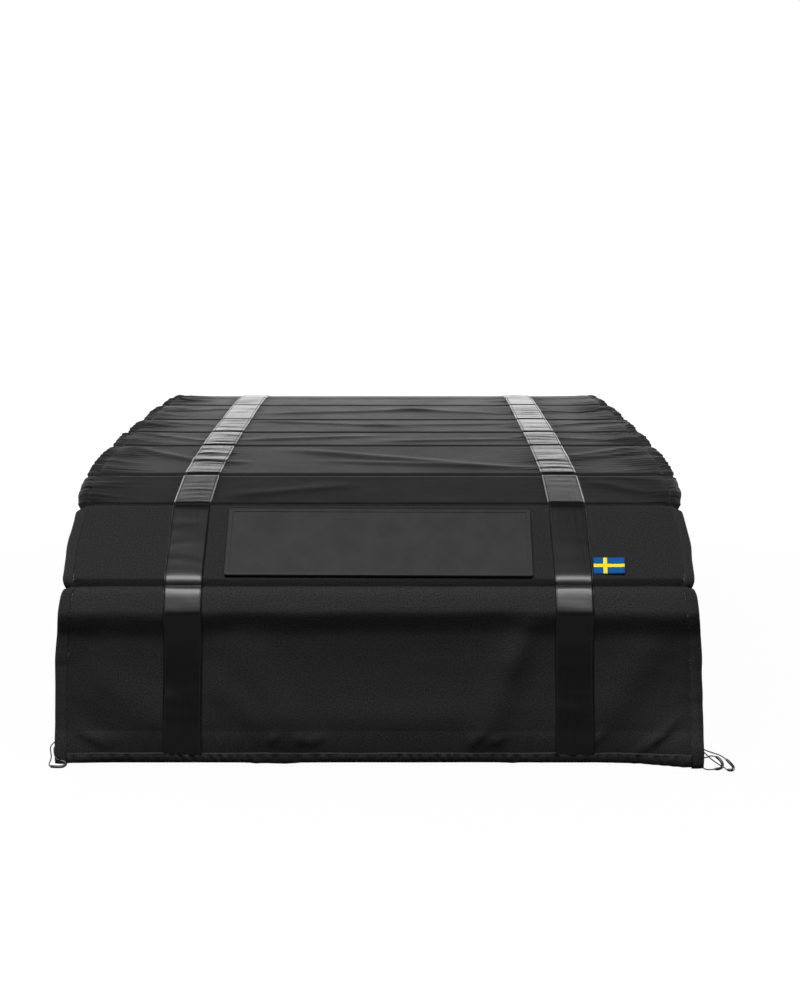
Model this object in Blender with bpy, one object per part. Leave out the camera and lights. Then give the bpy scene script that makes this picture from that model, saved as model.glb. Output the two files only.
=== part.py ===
"""Soft roll-up roof box: slatted fabric cover, zip-in side walls, roll-out base and bar clamps.

Metres, +Z up. X is the width, Y runs from the front (minus) to the rear (plus).
The origin is the centre of the footprint, on the underside of the bar pads.
"""

import math

import bmesh
import bpy
from mathutils import Matrix, Vector

# Overall shape: half width between the edge stitch lines, and the cover's outer profile
HALF_WIDTH = 0.400
FRONT_Y = -0.800
REAR_Y = 0.800
HEM_Z = 0.006
FRONT_FOLD = (-0.786, 0.238)
BROW_FOLD = (-0.668, 0.327)
SHOULDER_FOLD = (-0.488, 0.345)
TOP_FOLDS = ((-0.210, 0.356), (-0.042, 0.360), (0.160, 0.361), (0.429, 0.362), (0.597, 0.360))
REAR_BROW = (0.742, 0.353)
REAR_DROP = (0.786, 0.312)
REAR_MIDDLE = (0.793, 0.170)

# Cloth, boards and the play between layers
CLOTH = 0.0012
GAP = 0.0003
SLAT_THICKNESS = 0.004
SLAT_HALF_WIDTH = 0.388
SLAT_SETBACK = 0.0095
SLAT_CORNER = 0.008
SEAM_HALF_WIDTH = 0.008
FRONT_BOARD_STOP = 0.048

# Zip flap along both edges of the cover
FLAP_WIDTH = 0.0175
FLAP_DROOP = 0.0035

# Webbing, hems, badge and side label
STRAP_CENTRE = 0.255
STRAP_WIDTH = 0.050
STRAP_THICKNESS = 0.0015
HEM_HEIGHT = 0.014
BADGE_SIZE = (0.404, 0.1225)
BADGE_CENTRE_X = 0.0
BADGE_THICKNESS = 0.003
BADGE_RIM = 0.0045
BADGE_CORNER = 0.003
BADGE_FIELD_DEPTH = 0.0008
LABEL_SIZE = (0.040, 0.031)
LABEL_THICKNESS = 0.0008
LABEL_RISE = 0.017

# Zip between cover and side wall: depths are measured inwards from the cover's outer face
ZIP_DEPTH = 0.019
ZIP_HALF_GAP = 0.0008
ZIP_CHAIN_WIDTH = 0.0022
ZIP_CHAIN_THICKNESS = 0.003
TAPE_THICKNESS = 0.001
TAPE_WIDTH = 0.011
ZIP_X = 0.391
CORNER_RADIUS = 0.022
TAPE_CORNER_RADIUS = 0.008
CORNER_STEPS = 4
SLIGHT_TURN = math.radians(12)

# Zip slider and its running clearance on the chain
SLIDER_LENGTH = 0.016
SLIDER_REST = 0.016
SLIDER_PLATE = 0.0012
SLIDER_PLAY = 0.0006
SLIDER_LIP = 0.0018
SLIDER_POST_LENGTH = 0.004
BRIDGE_LENGTH = 0.011
BRIDGE_HEIGHT = 0.0042
BRIDGE_WIRE = 0.0011

# Side walls, which fold down from the base's edges
WALL_EDGE_DEPTH = 0.0255
WALL_BOARD_INSET = 0.0035
WALL_BOARD_JOINTS = (-0.330, 0.200)
WALL_BOARD_GAP = 0.012
WALL_HINGE_X = 0.396

# Base: bar pads, mat, boards and clamps
PAD_HEIGHT = 0.008
PAD_SIZE = (0.720, 0.060)
PAD_Y = 0.400
MAT_THICKNESS = 0.003
MAT_HALF_WIDTH = 0.395
MAT_SETBACK = 0.0075
BASE_BOARD_THICKNESS = 0.005
BASE_BOARD_HALF_WIDTH = 0.378
BASE_BOARD_COUNT = 4
BASE_BOARD_SPACE = 0.010
CLAMP_X = 0.250
BOLT_RADIUS = 0.003
BOLT_HEAD = 0.020
BOLT_HEAD_HEIGHT = 0.004
BOLT_HOLE_PLAY = 0.0004
PLATE_SIZE = (0.060, 0.040)
PLATE_THICKNESS = 0.003
KNOB_RADIUS = 0.021
KNOB_HEIGHT = 0.020
KNOB_BORE_DEPTH = 0.014
KNOB_LOBES = 5
KNOB_LOBE_DEPTH = 0.0042
KNOB_CHAMFER = 0.003
KNOB_LOBE_POINTS = 8
HOLE_SIDES = 16

# Cord pulls on the zip sliders: each loop leaves the bridge, lies over the ground and comes back,
# and a soft grip sleeve covers its far bend between two of the route's points
CORD_RADIUS = 0.0008
CORD_STEPS = 2
GRIP_WALL = 0.0009
GRIP_PLAY = 0.0003
PULL_LEFT = [
    (-0.3988, -0.7796, 0.0315), (-0.4060, -0.7802, 0.0322), (-0.4140, -0.7828, 0.0325),
    (-0.4215, -0.7880, 0.0318), (-0.4270, -0.7930, 0.0292), (-0.4302, -0.7962, 0.0245),
    (-0.4296, -0.7985, 0.0190), (-0.4288, -0.8000, 0.0130), (-0.4300, -0.8018, 0.0078),
    (-0.4312, -0.8045, 0.0040), (-0.4290, -0.8080, 0.0023), (-0.4240, -0.8100, 0.0021),
    (-0.4180, -0.8105, 0.0021), (-0.4125, -0.8095, 0.0024), (-0.4092, -0.8080, 0.0048),
    (-0.4112, -0.8068, 0.0078), (-0.4160, -0.8062, 0.0092), (-0.4208, -0.8055, 0.0108),
    (-0.4236, -0.8030, 0.0150), (-0.4252, -0.7995, 0.0200), (-0.4252, -0.7955, 0.0242),
    (-0.4222, -0.7900, 0.0272), (-0.4160, -0.7850, 0.0285), (-0.4070, -0.7810, 0.0288),
    (-0.3988, -0.7796, 0.0285)]
PULL_RIGHT_LOW = [
    (0.3988, -0.7796, 0.0267), (0.4065, -0.7802, 0.0245), (0.4140, -0.7825, 0.0180),
    (0.4205, -0.7860, 0.0112), (0.4260, -0.7900, 0.0090), (0.4310, -0.7935, 0.0105),
    (0.4355, -0.7965, 0.0130), (0.4415, -0.8005, 0.0128), (0.4462, -0.8050, 0.0100),
    (0.4485, -0.8100, 0.0062), (0.4475, -0.8155, 0.0032), (0.4430, -0.8200, 0.0021),
    (0.4370, -0.8225, 0.0021), (0.4310, -0.8225, 0.0014), (0.4262, -0.8190, 0.0010),
    (0.4235, -0.8135, 0.0012), (0.4225, -0.8070, 0.0028), (0.4222, -0.8005, 0.0085),
    (0.4210, -0.7945, 0.0160), (0.4165, -0.7890, 0.0225), (0.4080, -0.7830, 0.0270),
    (0.3988, -0.7796, 0.0289)]
PULL_RIGHT_HIGH = [
    (0.3988, -0.7796, 0.0333), (0.4065, -0.7806, 0.0338), (0.4140, -0.7832, 0.0305),
    (0.4215, -0.7875, 0.0240), (0.4290, -0.7920, 0.0195), (0.4380, -0.7965, 0.0172),
    (0.4470, -0.8010, 0.0148), (0.4540, -0.8055, 0.0108), (0.4590, -0.8112, 0.0068),
    (0.4618, -0.8180, 0.0036), (0.4605, -0.8245, 0.0022), (0.4568, -0.8280, 0.0021),
    (0.4532, -0.8258, 0.0021), (0.4522, -0.8195, 0.0012), (0.4518, -0.8130, 0.0009),
    (0.4490, -0.8065, 0.0014), (0.4440, -0.8005, 0.0036), (0.4385, -0.7950, 0.0066),
    (0.4330, -0.7895, 0.0106), (0.4265, -0.7850, 0.0165), (0.4190, -0.7820, 0.0232),
    (0.4085, -0.7792, 0.0290), (0.3988, -0.7796, 0.0311)]
PULLS = {"left": ("left", PULL_LEFT, 10, 16), "right_low": ("right", PULL_RIGHT_LOW, 7, 12),
         "right_high": ("right", PULL_RIGHT_HIGH, 7, 12)}

# Colours
BLACK_CLOTH = (0.030, 0.031, 0.034, 1.0)
LINING_GREY = (0.085, 0.088, 0.092, 1.0)
WEBBING_GREY = (0.090, 0.094, 0.100, 1.0)
BOARD_BLACK = (0.050, 0.050, 0.052, 1.0)
RUBBER_BLACK = (0.035, 0.035, 0.036, 1.0)
LABEL_BLUE = (0.020, 0.130, 0.420, 1.0)
ZIP_BLACK = (0.025, 0.025, 0.027, 1.0)
STEEL = (0.560, 0.570, 0.580, 1.0)


def derived_profile():
    """The cover's outer profile from the front hem over the top to the rear hem."""
    front = [(FRONT_Y, HEM_Z), FRONT_FOLD, BROW_FOLD, SHOULDER_FOLD]
    rear = [REAR_BROW, REAR_DROP, REAR_MIDDLE, (REAR_Y, HEM_Z)]
    return [Vector(p) for p in [*front, *TOP_FOLDS, *rear]]


PROFILE = derived_profile()
PANELS = ["front", "badge", "shoulder"]
PANELS += [f"top_{i + 1}" for i in range(len(TOP_FOLDS) + 1)]
PANELS += ["rear_edge", "rear_upper", "rear_lower"]
LINING_DEPTH = CLOTH + SLAT_THICKNESS + 2 * GAP
COVER_DEPTH = LINING_DEPTH + CLOTH
SEAM_DIP = (LINING_DEPTH - CLOTH - GAP) / 2
MAT_TOP = PAD_HEIGHT + GAP + MAT_THICKNESS
BOARD_BOTTOM = MAT_TOP + GAP
BOARD_TOP = BOARD_BOTTOM + BASE_BOARD_THICKNESS
PLATE_BOTTOM = BOARD_TOP + GAP
PLATE_TOP = PLATE_BOTTOM + PLATE_THICKNESS
KNOB_BOTTOM = PLATE_TOP + GAP


def clear_scene():
    for obj in list(bpy.data.objects):
        bpy.data.objects.remove(obj, do_unlink=True)


def material(name, colour, roughness, metallic=0.0):
    mat = bpy.data.materials.new(name)
    mat.use_nodes = True
    shader = mat.node_tree.nodes["Principled BSDF"]
    shader.inputs["Base Color"].default_value = colour
    shader.inputs["Roughness"].default_value = roughness
    shader.inputs["Metallic"].default_value = metallic
    return mat


def add_object(name, bm, mat, parent=None, smooth=None):
    """One closed mesh object, faces outwards, from a bmesh in world coordinates."""
    bmesh.ops.recalc_face_normals(bm, faces=bm.faces)
    mesh = bpy.data.meshes.new(name)
    bm.to_mesh(mesh)
    bm.free()
    mesh.materials.append(mat)
    if smooth is not None:
        mesh.shade_smooth()
        mesh.set_sharp_from_angle(angle=math.radians(smooth))
    obj = bpy.data.objects.new(name, mesh)
    bpy.context.scene.collection.objects.link(obj)
    if parent is not None:
        obj.parent = parent
        obj.matrix_parent_inverse = parent.matrix_world.inverted()
    return obj


def axis_empty(name, place):
    """An empty on a joint's axis, which carries the pieces that move about it."""
    empty = bpy.data.objects.new(name, None)
    empty.location = place
    bpy.context.scene.collection.objects.link(empty)
    bpy.context.view_layer.update()
    return empty


def segment(a, b):
    """Unit direction and outward normal of one straight stretch of the profile."""
    along = (b - a).normalized()
    return along, Vector((-along.y, along.x))


def offset(points, distance):
    """The same open line moved sideways, with mitred corners; plus is outwards."""
    moved = []
    for i, point in enumerate(points):
        normals = []
        if i > 0:
            normals.append(segment(points[i - 1], point)[1])
        if i < len(points) - 1:
            normals.append(segment(point, points[i + 1])[1])
        middle = sum(normals, Vector((0.0, 0.0))).normalized()
        moved.append(point + middle * (distance / middle.dot(normals[0])))
    return moved


def rounded(points, radius):
    """The open line with each clear corner turned into an arc of this radius."""
    line = [points[0]]
    for before, corner, after in zip(points, points[1:], points[2:]):
        into, normal_in = segment(before, corner)
        out = segment(corner, after)[0]
        turn = math.acos(max(-1.0, min(1.0, into.dot(out))))
        if turn < SLIGHT_TURN:
            line.append(corner)
            continue
        side = -1.0 if into.x * out.y - into.y * out.x < 0 else 1.0
        start = corner - into * (radius * math.tan(turn / 2))
        centre = start + normal_in * (radius * side)
        for k in range(CORNER_STEPS + 1):
            spoke = start - centre
            angle = side * turn * k / CORNER_STEPS
            rotated = Matrix.Rotation(angle, 2) @ spoke
            line.append(centre + rotated)
    line.append(points[-1])
    return line


def at_height(points, z, last=False):
    """The line cut off at a height, at its first end or at both."""
    first, second = points[0], points[1]
    share = (z - first.y) / (second.y - first.y)
    cut = [first.lerp(second, share), *points[1:]]
    if last:
        cut = at_height(cut[::-1], z)[::-1]
    return cut


def quilted(depth, dip):
    """The profile at this depth, dipping by dip at each seam between two panels."""
    base = offset(PROFILE, -depth)
    bisectors = offset(PROFILE, 1.0)
    line = [base[0]]
    for i in range(1, len(base) - 1):
        inwards = (PROFILE[i] - bisectors[i]).normalized()
        before = segment(base[i - 1], base[i])[0]
        after = segment(base[i], base[i + 1])[0]
        line.append(base[i] - before * SEAM_HALF_WIDTH)
        line.append(base[i] + inwards * dip)
        line.append(base[i] + after * SEAM_HALF_WIDTH)
    line.append(base[-1])
    return line


def loft(name, rings, mat, parent=None, smooth=None):
    """A closed body through rings of equally many points, with flat ends."""
    bm = bmesh.new()
    made = [[bm.verts.new(point) for point in ring] for ring in rings]
    count = len(rings[0])
    for low, high in zip(made, made[1:]):
        for k in range(count):
            after = (k + 1) % count
            bm.faces.new((low[k], low[after], high[after], high[k]))
    bm.faces.new(made[0])
    bm.faces.new(made[-1])
    return add_object(name, bm, mat, parent, smooth)


def sheet(name, outer, inner, stations, mat, parent=None):
    """A sheet between two lines of the side view, through stations (x, drop inwards)."""
    bm = bmesh.new()
    columns = []
    for x, drop in stations:
        upper = offset(outer, -drop) if drop else outer
        lower = offset(inner, -drop) if drop else inner
        columns.append([[bm.verts.new((x, p.x, p.y)) for p in line] for line in (upper, lower)])
    for left, right in zip(columns, columns[1:]):
        for row in (0, 1):
            for k in range(len(outer) - 1):
                bm.faces.new((left[row][k], left[row][k + 1], right[row][k + 1], right[row][k]))
        for k in (0, -1):
            bm.faces.new((left[0][k], left[1][k], right[1][k], right[0][k]))
    for column in (columns[0], columns[-1]):
        for k in range(len(outer) - 1):
            bm.faces.new((column[0][k], column[0][k + 1], column[1][k + 1], column[1][k]))
    return add_object(name, bm, mat, parent)


def slab(name, outline, low, high, mat, parent=None, axis="X"):
    """A flat plate: an outline in the side or plan view, extruded along X or Z."""
    bm = bmesh.new()
    if axis == "X":
        corners = [bm.verts.new((low, p[0], p[1])) for p in outline]
        travel = Vector((high - low, 0, 0))
    else:
        corners = [bm.verts.new((p[0], p[1], low)) for p in outline]
        travel = Vector((0, 0, high - low))
    face = bm.faces.new(corners)
    grown = bmesh.ops.extrude_face_region(bm, geom=[face])["geom"]
    raised = [v for v in grown if isinstance(v, bmesh.types.BMVert)]
    bmesh.ops.translate(bm, verts=raised, vec=travel)
    return add_object(name, bm, mat, parent)


def box_mesh(size, corner=0.0, lift=0.0):
    """A box about its own centre, with its upright corners rounded off."""
    bm = bmesh.new()
    bmesh.ops.create_cube(bm, size=1.0)
    bmesh.ops.scale(bm, vec=size, verts=bm.verts)
    if corner:
        upright = [e for e in bm.edges if abs(e.verts[0].co.z - e.verts[1].co.z) > size[2] / 2]
        bmesh.ops.bevel(bm, geom=upright, offset=corner, segments=2, profile=0.5,
                        affect="EDGES", material=-1)
    bmesh.ops.translate(bm, verts=bm.verts, vec=(0, 0, lift))
    return bm


def panel_ends(name):
    i = PANELS.index(name)
    return PROFILE[i], PROFILE[i + 1]


def place_on_panel(bm, name, name_in_scene, rise, x, mat, parent=None, smooth=None):
    """Turns a flat piece into a cover panel's plane, its centre at rise above the lower seam."""
    start, end = panel_ends(name)
    along, _ = segment(start, end)
    centre = start + along * rise
    obj = add_object(name_in_scene, bm, mat, parent, smooth)
    obj.location = (x, centre.x, centre.y)
    obj.rotation_euler = (math.atan2(along.y, along.x), 0, 0)
    return obj


def cover():
    """The outer skin with its zip flaps, the lining and a board in each pocket between them."""
    cloth = material("black_coated_cloth", BLACK_CLOTH, 0.55)
    lining = material("grey_lining", LINING_GREY, 0.8)
    board = material("slat_board", BOARD_BLACK, 0.6)
    outer = quilted(0.0, SEAM_DIP)
    inner = offset(outer, -CLOTH)
    edge = HALF_WIDTH
    tip = edge + FLAP_WIDTH
    stations = [(-tip, FLAP_DROOP), (-edge, 0), (edge, 0), (tip, FLAP_DROOP)]
    sheet("cover_skin", outer, inner, stations, cloth)
    lining_top = quilted(LINING_DEPTH, -SEAM_DIP + GAP)
    lining_low = offset(lining_top, -CLOTH)
    sheet("cover_lining", lining_top, lining_low, [(-edge, 0), (edge, 0)], lining)
    for name in PANELS:
        if name == "rear_edge":
            continue
        start, end = panel_ends(name)
        low = SLAT_SETBACK
        high = (end - start).length - SLAT_SETBACK
        if name == "front":
            high -= FRONT_BOARD_STOP
        size = (2 * SLAT_HALF_WIDTH, high - low, SLAT_THICKNESS)
        middle = -(CLOTH + GAP + SLAT_THICKNESS / 2)
        bm = box_mesh(size, SLAT_CORNER, middle)
        place_on_panel(bm, name, f"slat_{name}", (low + high) / 2, 0.0, board)


def hems_and_straps():
    """Bindings along both bottom edges, and the two webbing straps that end against them."""
    cloth = material("hem_binding", BLACK_CLOTH, 0.6)
    webbing = material("webbing", WEBBING_GREY, 0.42)
    for name, ends in (("front", (0, 1)), ("rear", (-1, -2))):
        start, end = PROFILE[ends[0]], PROFILE[ends[1]]
        along = (end - start).normalized()
        line = [start, start + along * HEM_HEIGHT]
        if name == "rear":
            line.reverse()
        sheet(f"hem_binding_{name}", offset(line, GAP + CLOTH), offset(line, GAP),
              [(-HALF_WIDTH, 0), (HALF_WIDTH, 0)], cloth)
    route = quilted(0.0, SEAM_DIP)
    for end, step in ((0, 1), (-1, -2)):
        along = (route[step] - route[end]).normalized()
        route[end] = route[end] + along * (HEM_HEIGHT + GAP)
    for side, sign in (("left", -1), ("right", 1)):
        centre = sign * STRAP_CENTRE
        stations = [(centre - STRAP_WIDTH / 2, 0), (centre + STRAP_WIDTH / 2, 0)]
        sheet(f"strap_{side}", offset(route, GAP + STRAP_THICKNESS), offset(route, GAP), stations, webbing)


def badge_and_label():
    """A bare moulded plate with a raised rim, and a small woven tab beside the right strap."""
    rubber = material("badge_rubber", RUBBER_BLACK, 0.45)
    blue = material("label_blue", LABEL_BLUE, 0.75)
    start, end = panel_ends("badge")
    length = (end - start).length
    bm = box_mesh((*BADGE_SIZE, BADGE_THICKNESS), BADGE_CORNER, GAP + BADGE_THICKNESS / 2)
    top = max(bm.faces, key=lambda f: f.calc_center_median().z)
    bmesh.ops.inset_individual(bm, faces=[top], thickness=BADGE_RIM)
    bmesh.ops.translate(bm, verts=top.verts, vec=(0, 0, -BADGE_FIELD_DEPTH))
    place_on_panel(bm, "badge", "badge_plate", length / 2, BADGE_CENTRE_X, rubber)
    bm = box_mesh((*LABEL_SIZE, LABEL_THICKNESS), 0.0, GAP + LABEL_THICKNESS / 2)
    x = STRAP_CENTRE + STRAP_WIDTH / 2 + GAP + LABEL_SIZE[0] / 2
    place_on_panel(bm, "badge", "side_label", LABEL_RISE + LABEL_SIZE[1] / 2, x, blue)


def zip_edge(depth, radius, low, both_ends):
    """A line of the zip at this depth inside the cover's outer face, cut off at the low end."""
    return at_height(rounded(offset(PROFILE, -depth), radius), low, last=both_ends)


def zip_half(name, section, low, sign, mat, parent):
    """Tape and half chain along the whole profile: section holds (x, depth, corner radius)."""
    edges = [zip_edge(depth, radius, low, True) for _, depth, radius in section]
    rings = []
    for k in range(len(edges[0])):
        rings.append([(sign * x, edge[k].x, edge[k].y) for (x, _, _), edge in zip(section, edges)])
    return loft(name, rings, mat, parent)


def zips(side, sign, wall):
    """The two halves of one side's zip: one on the cover, one on the wall that folds down."""
    mat = material(f"zip_{side}", ZIP_BLACK, 0.5)
    tape_in, tape_out = ZIP_X - TAPE_THICKNESS / 2, ZIP_X + TAPE_THICKNESS / 2
    chain_in, chain_out = ZIP_X - ZIP_CHAIN_THICKNESS / 2, ZIP_X + ZIP_CHAIN_THICKNESS / 2
    for on_cover in (True, False):
        way = -1 if on_cover else 1
        near = ZIP_DEPTH + way * ZIP_HALF_GAP
        far = near + way * ZIP_CHAIN_WIDTH
        edge = COVER_DEPTH + GAP if on_cover else ZIP_DEPTH + TAPE_WIDTH
        edge_radius = TAPE_CORNER_RADIUS if on_cover else CORNER_RADIUS
        section = [(tape_in, edge, edge_radius), (tape_in, far, CORNER_RADIUS),
                   (chain_in, far, CORNER_RADIUS), (chain_in, near, CORNER_RADIUS),
                   (chain_out, near, CORNER_RADIUS), (chain_out, far, CORNER_RADIUS),
                   (tape_out, far, CORNER_RADIUS), (tape_out, edge, edge_radius)]
        rest_end = HEM_Z + SLIDER_REST
        low = MAT_TOP + GAP if on_cover else rest_end + SLIDER_LENGTH + SLIDER_PLAY
        owner = "cover" if on_cover else "wall"
        zip_half(f"zip_{owner}_{side}", section, low, sign, mat, None if on_cover else wall)


def slider_frame():
    """Where the closed slider stands: its low end on the zip's centre line, and the way it runs."""
    line = offset(PROFILE, -ZIP_DEPTH)
    along, outwards = segment(line[0], line[1])
    share = (HEM_Z + SLIDER_REST - line[0].y) / along.y
    return line[0] + along * share, along, outwards


def slider(side, sign):
    """A two-plate slider with tape slits, a dividing post and a bridge for the cord."""
    mat = material(f"slider_{side}", ZIP_BLACK, 0.35, 0.6)
    origin, along, outwards = slider_frame()
    room = ZIP_CHAIN_THICKNESS / 2 + SLIDER_PLAY
    skin = room + SLIDER_PLATE
    slit = TAPE_THICKNESS / 2 + SLIDER_PLAY
    cheek = ZIP_HALF_GAP + ZIP_CHAIN_WIDTH + SLIDER_PLAY
    edge = cheek + SLIDER_LIP
    post = ZIP_HALF_GAP - GAP

    def point(x, across, run):
        place = origin + along * run + outwards * across
        return (sign * (ZIP_X + x), place.x, place.y)

    def plate(way):
        """One C-shaped plate, outside the chain or inside it."""
        shape = [(slit, -edge), (skin, -edge), (skin, edge), (slit, edge), (slit, cheek),
                 (room, cheek), (room, -cheek), (slit, -cheek)]
        return [[point(way * x, across, run) for x, across in shape] for run in (0, SLIDER_LENGTH)]

    reach = room + SLIDER_PLATE / 2
    shape = [(-reach, -post), (reach, -post), (reach, post), (-reach, post)]
    runs = (SLIDER_LENGTH - SLIDER_POST_LENGTH, SLIDER_LENGTH - SLIDER_PLATE / 2)
    divider = [[point(x, across, run) for x, across in shape] for run in runs]
    foot = skin - SLIDER_PLATE / 2
    crown = skin + BRIDGE_HEIGHT
    middle = SLIDER_LENGTH / 2
    legs = (BRIDGE_LENGTH / 2, BRIDGE_LENGTH / 2 - BRIDGE_WIRE)
    shape = [(foot, -legs[0]), (crown, -legs[0]), (crown, legs[0]), (foot, legs[0]),
             (foot, legs[1]), (crown - BRIDGE_WIRE, legs[1]),
             (crown - BRIDGE_WIRE, -legs[1]), (foot, -legs[1])]
    bridge = [[point(x, across, middle + run) for x, run in shape]
              for across in (-BRIDGE_WIRE, BRIDGE_WIRE)]
    holder = axis_empty(f"slider_{side}_axis", point(0, 0, 0))
    body = loft(f"zip_slider_{side}", plate(1), mat, holder)
    for index, rings in enumerate((plate(-1), divider, bridge)):
        tool = loft(f"slider_{side}_joined_{index}", rings, mat, holder)
        tool.hide_render = True
        tool.display_type = "WIRE"
        join = body.modifiers.new(f"join_{index}", "BOOLEAN")
        join.operation = "UNION"
        join.solver = "EXACT"
        join.object = tool
    return holder


def smooth_route(points):
    """The points of one smooth curve through a route, CORD_STEPS to each stretch."""
    route = [Vector(p) for p in points]
    ends = [2 * route[0] - route[1], *route, 2 * route[-1] - route[-2]]
    line = []
    for before, start, end, after in zip(ends, ends[1:], ends[2:], ends[3:]):
        for k in range(CORD_STEPS):
            t = k / CORD_STEPS
            line.append(0.5 * (2 * start + (end - before) * t
                               + (2 * before - 5 * start + 4 * end - after) * t ** 2
                               + (3 * start - before - 3 * end + after) * t ** 3))
    line.append(route[-1])
    return line


def cord(name, line, mat, parent):
    """A round cord along the line, as a curve with closed ends."""
    curve = bpy.data.curves.new(name, "CURVE")
    curve.dimensions = "3D"
    curve.bevel_depth = CORD_RADIUS
    curve.bevel_resolution = 2
    curve.use_fill_caps = True
    spline = curve.splines.new("POLY")
    spline.points.add(len(line) - 1)
    for point, place in zip(spline.points, line):
        point.co = (*place, 1.0)
    curve.materials.append(mat)
    obj = bpy.data.objects.new(name, curve)
    bpy.context.scene.collection.objects.link(obj)
    obj.parent = parent
    obj.matrix_parent_inverse = parent.matrix_world.inverted()
    return obj


def grip(name, line, mat, parent):
    """A soft sleeve round the cord: outer and inner tube, closed by a ring at each end."""
    bore = CORD_RADIUS + GRIP_PLAY
    sides = 8
    bm = bmesh.new()
    side = (line[1] - line[0]).orthogonal().normalized()
    tubes = []
    for i, place in enumerate(line):
        run = (line[min(i + 1, len(line) - 1)] - line[max(i - 1, 0)]).normalized()
        side = (side - run * side.dot(run)).normalized()
        other = run.cross(side)
        spokes = [side * math.cos(2 * math.pi * k / sides) + other * math.sin(2 * math.pi * k / sides)
                  for k in range(sides)]
        tubes.append([[bm.verts.new(place + spoke * radius) for spoke in spokes]
                      for radius in (bore, bore + GRIP_WALL)])
    for near, far in zip(tubes, tubes[1:]):
        for tube in (0, 1):
            for k in range(sides):
                after = (k + 1) % sides
                bm.faces.new((near[tube][k], near[tube][after], far[tube][after], far[tube][k]))
    for end in (tubes[0], tubes[-1]):
        for k in range(sides):
            after = (k + 1) % sides
            bm.faces.new((end[0][k], end[0][after], end[1][after], end[1][k]))
    return add_object(name, bm, mat, parent, 40)


def pulls(sliders):
    """The cord loops with their grips, each carried by its slider."""
    cord_black = material("pull_cord", ZIP_BLACK, 0.6)
    rubber = material("pull_grip", RUBBER_BLACK, 0.4)
    for name, (side, route, first, last) in PULLS.items():
        line = smooth_route(route)
        cord(f"pull_cord_{name}", line, cord_black, sliders[side])
        covered = line[first * CORD_STEPS:last * CORD_STEPS + 1]
        grip(f"pull_grip_{name}", covered, rubber, sliders[side])


def wall_outline(depth, front, rear):
    """A side wall piece: the rounded profile at this depth, down to the mat, between two stations."""
    line = at_height(rounded(offset(PROFILE, -depth), CORNER_RADIUS), MAT_TOP + GAP, last=True)
    kept = [p for p in line if front < p.x < rear]

    def crossing(station):
        for a, b in zip(line, line[1:]):
            if a.x <= station <= b.x:
                return a.lerp(b, (station - a.x) / (b.x - a.x))
        return None

    start, end = crossing(front), crossing(rear)
    if start is not None:
        kept = [Vector((front, MAT_TOP + GAP)), start, *kept]
    if end is not None:
        kept = [*kept, end, Vector((rear, MAT_TOP + GAP))]
    return kept


def side_wall(side, sign):
    """Outer cloth, three boards and inner cloth of one side wall, hinged on the base's edge."""
    cloth = material(f"wall_cloth_{side}", BLACK_CLOTH, 0.6)
    lining = material(f"wall_lining_{side}", LINING_GREY, 0.8)
    board = material(f"wall_board_{side}", BOARD_BLACK, 0.6)
    wall = axis_empty(f"wall_{side}_axis", (sign * WALL_HINGE_X, 0, MAT_TOP))
    skin_out = ZIP_X - TAPE_THICKNESS / 2 - GAP
    skin_in = skin_out - CLOTH
    board_out = skin_in - GAP
    board_in = board_out - SLAT_THICKNESS
    lining_out = board_in - GAP
    lining_in = lining_out - CLOTH
    whole = wall_outline(WALL_EDGE_DEPTH, 2 * FRONT_Y, 2 * REAR_Y)
    slab(f"wall_skin_{side}", whole, sign * skin_out, sign * skin_in, cloth, wall)
    slab(f"wall_lining_{side}", whole, sign * lining_out, sign * lining_in, lining, wall)
    stations = [2 * FRONT_Y, *WALL_BOARD_JOINTS, 2 * REAR_Y]
    for k, name in enumerate(("front", "middle", "rear")):
        front = stations[k] + WALL_BOARD_GAP / 2
        rear = stations[k + 1] - WALL_BOARD_GAP / 2
        shape = wall_outline(WALL_EDGE_DEPTH + WALL_BOARD_INSET, front, rear)
        slab(f"wall_board_{name}_{side}", shape, sign * board_out, sign * board_in, board, wall)
    return wall


def clamp_places():
    return [(sx * CLAMP_X, sy * PAD_Y) for sy in (-1, 1) for sx in (-1, 1)]


def cut_holes(target, radius, places, height, square=False):
    """Upright holes through a flat piece, at these places."""
    for index, (x, y) in enumerate(places):
        bm = bmesh.new()
        bmesh.ops.create_cone(bm, cap_ends=True, segments=4 if square else HOLE_SIDES, radius1=radius,
                              radius2=radius, depth=height)
        if square:
            bmesh.ops.rotate(bm, verts=bm.verts, cent=(0, 0, 0),
                             matrix=Matrix.Rotation(math.pi / 4, 3, "Z"))
        bmesh.ops.translate(bm, verts=bm.verts, vec=(x, y, height / 4))
        cutter = add_object(f"{target.name}_cutter_{index}", bm, target.data.materials[0])
        cutter.hide_render = True
        cutter.display_type = "WIRE"
        cut = target.modifiers.new(f"hole_{index}", "BOOLEAN")
        cut.operation = "DIFFERENCE"
        cut.solver = "EXACT"
        cut.object = cutter


def plan(x0, x1, y0, y1):
    return [(x0, y0), (x1, y0), (x1, y1), (x0, y1)]


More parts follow.
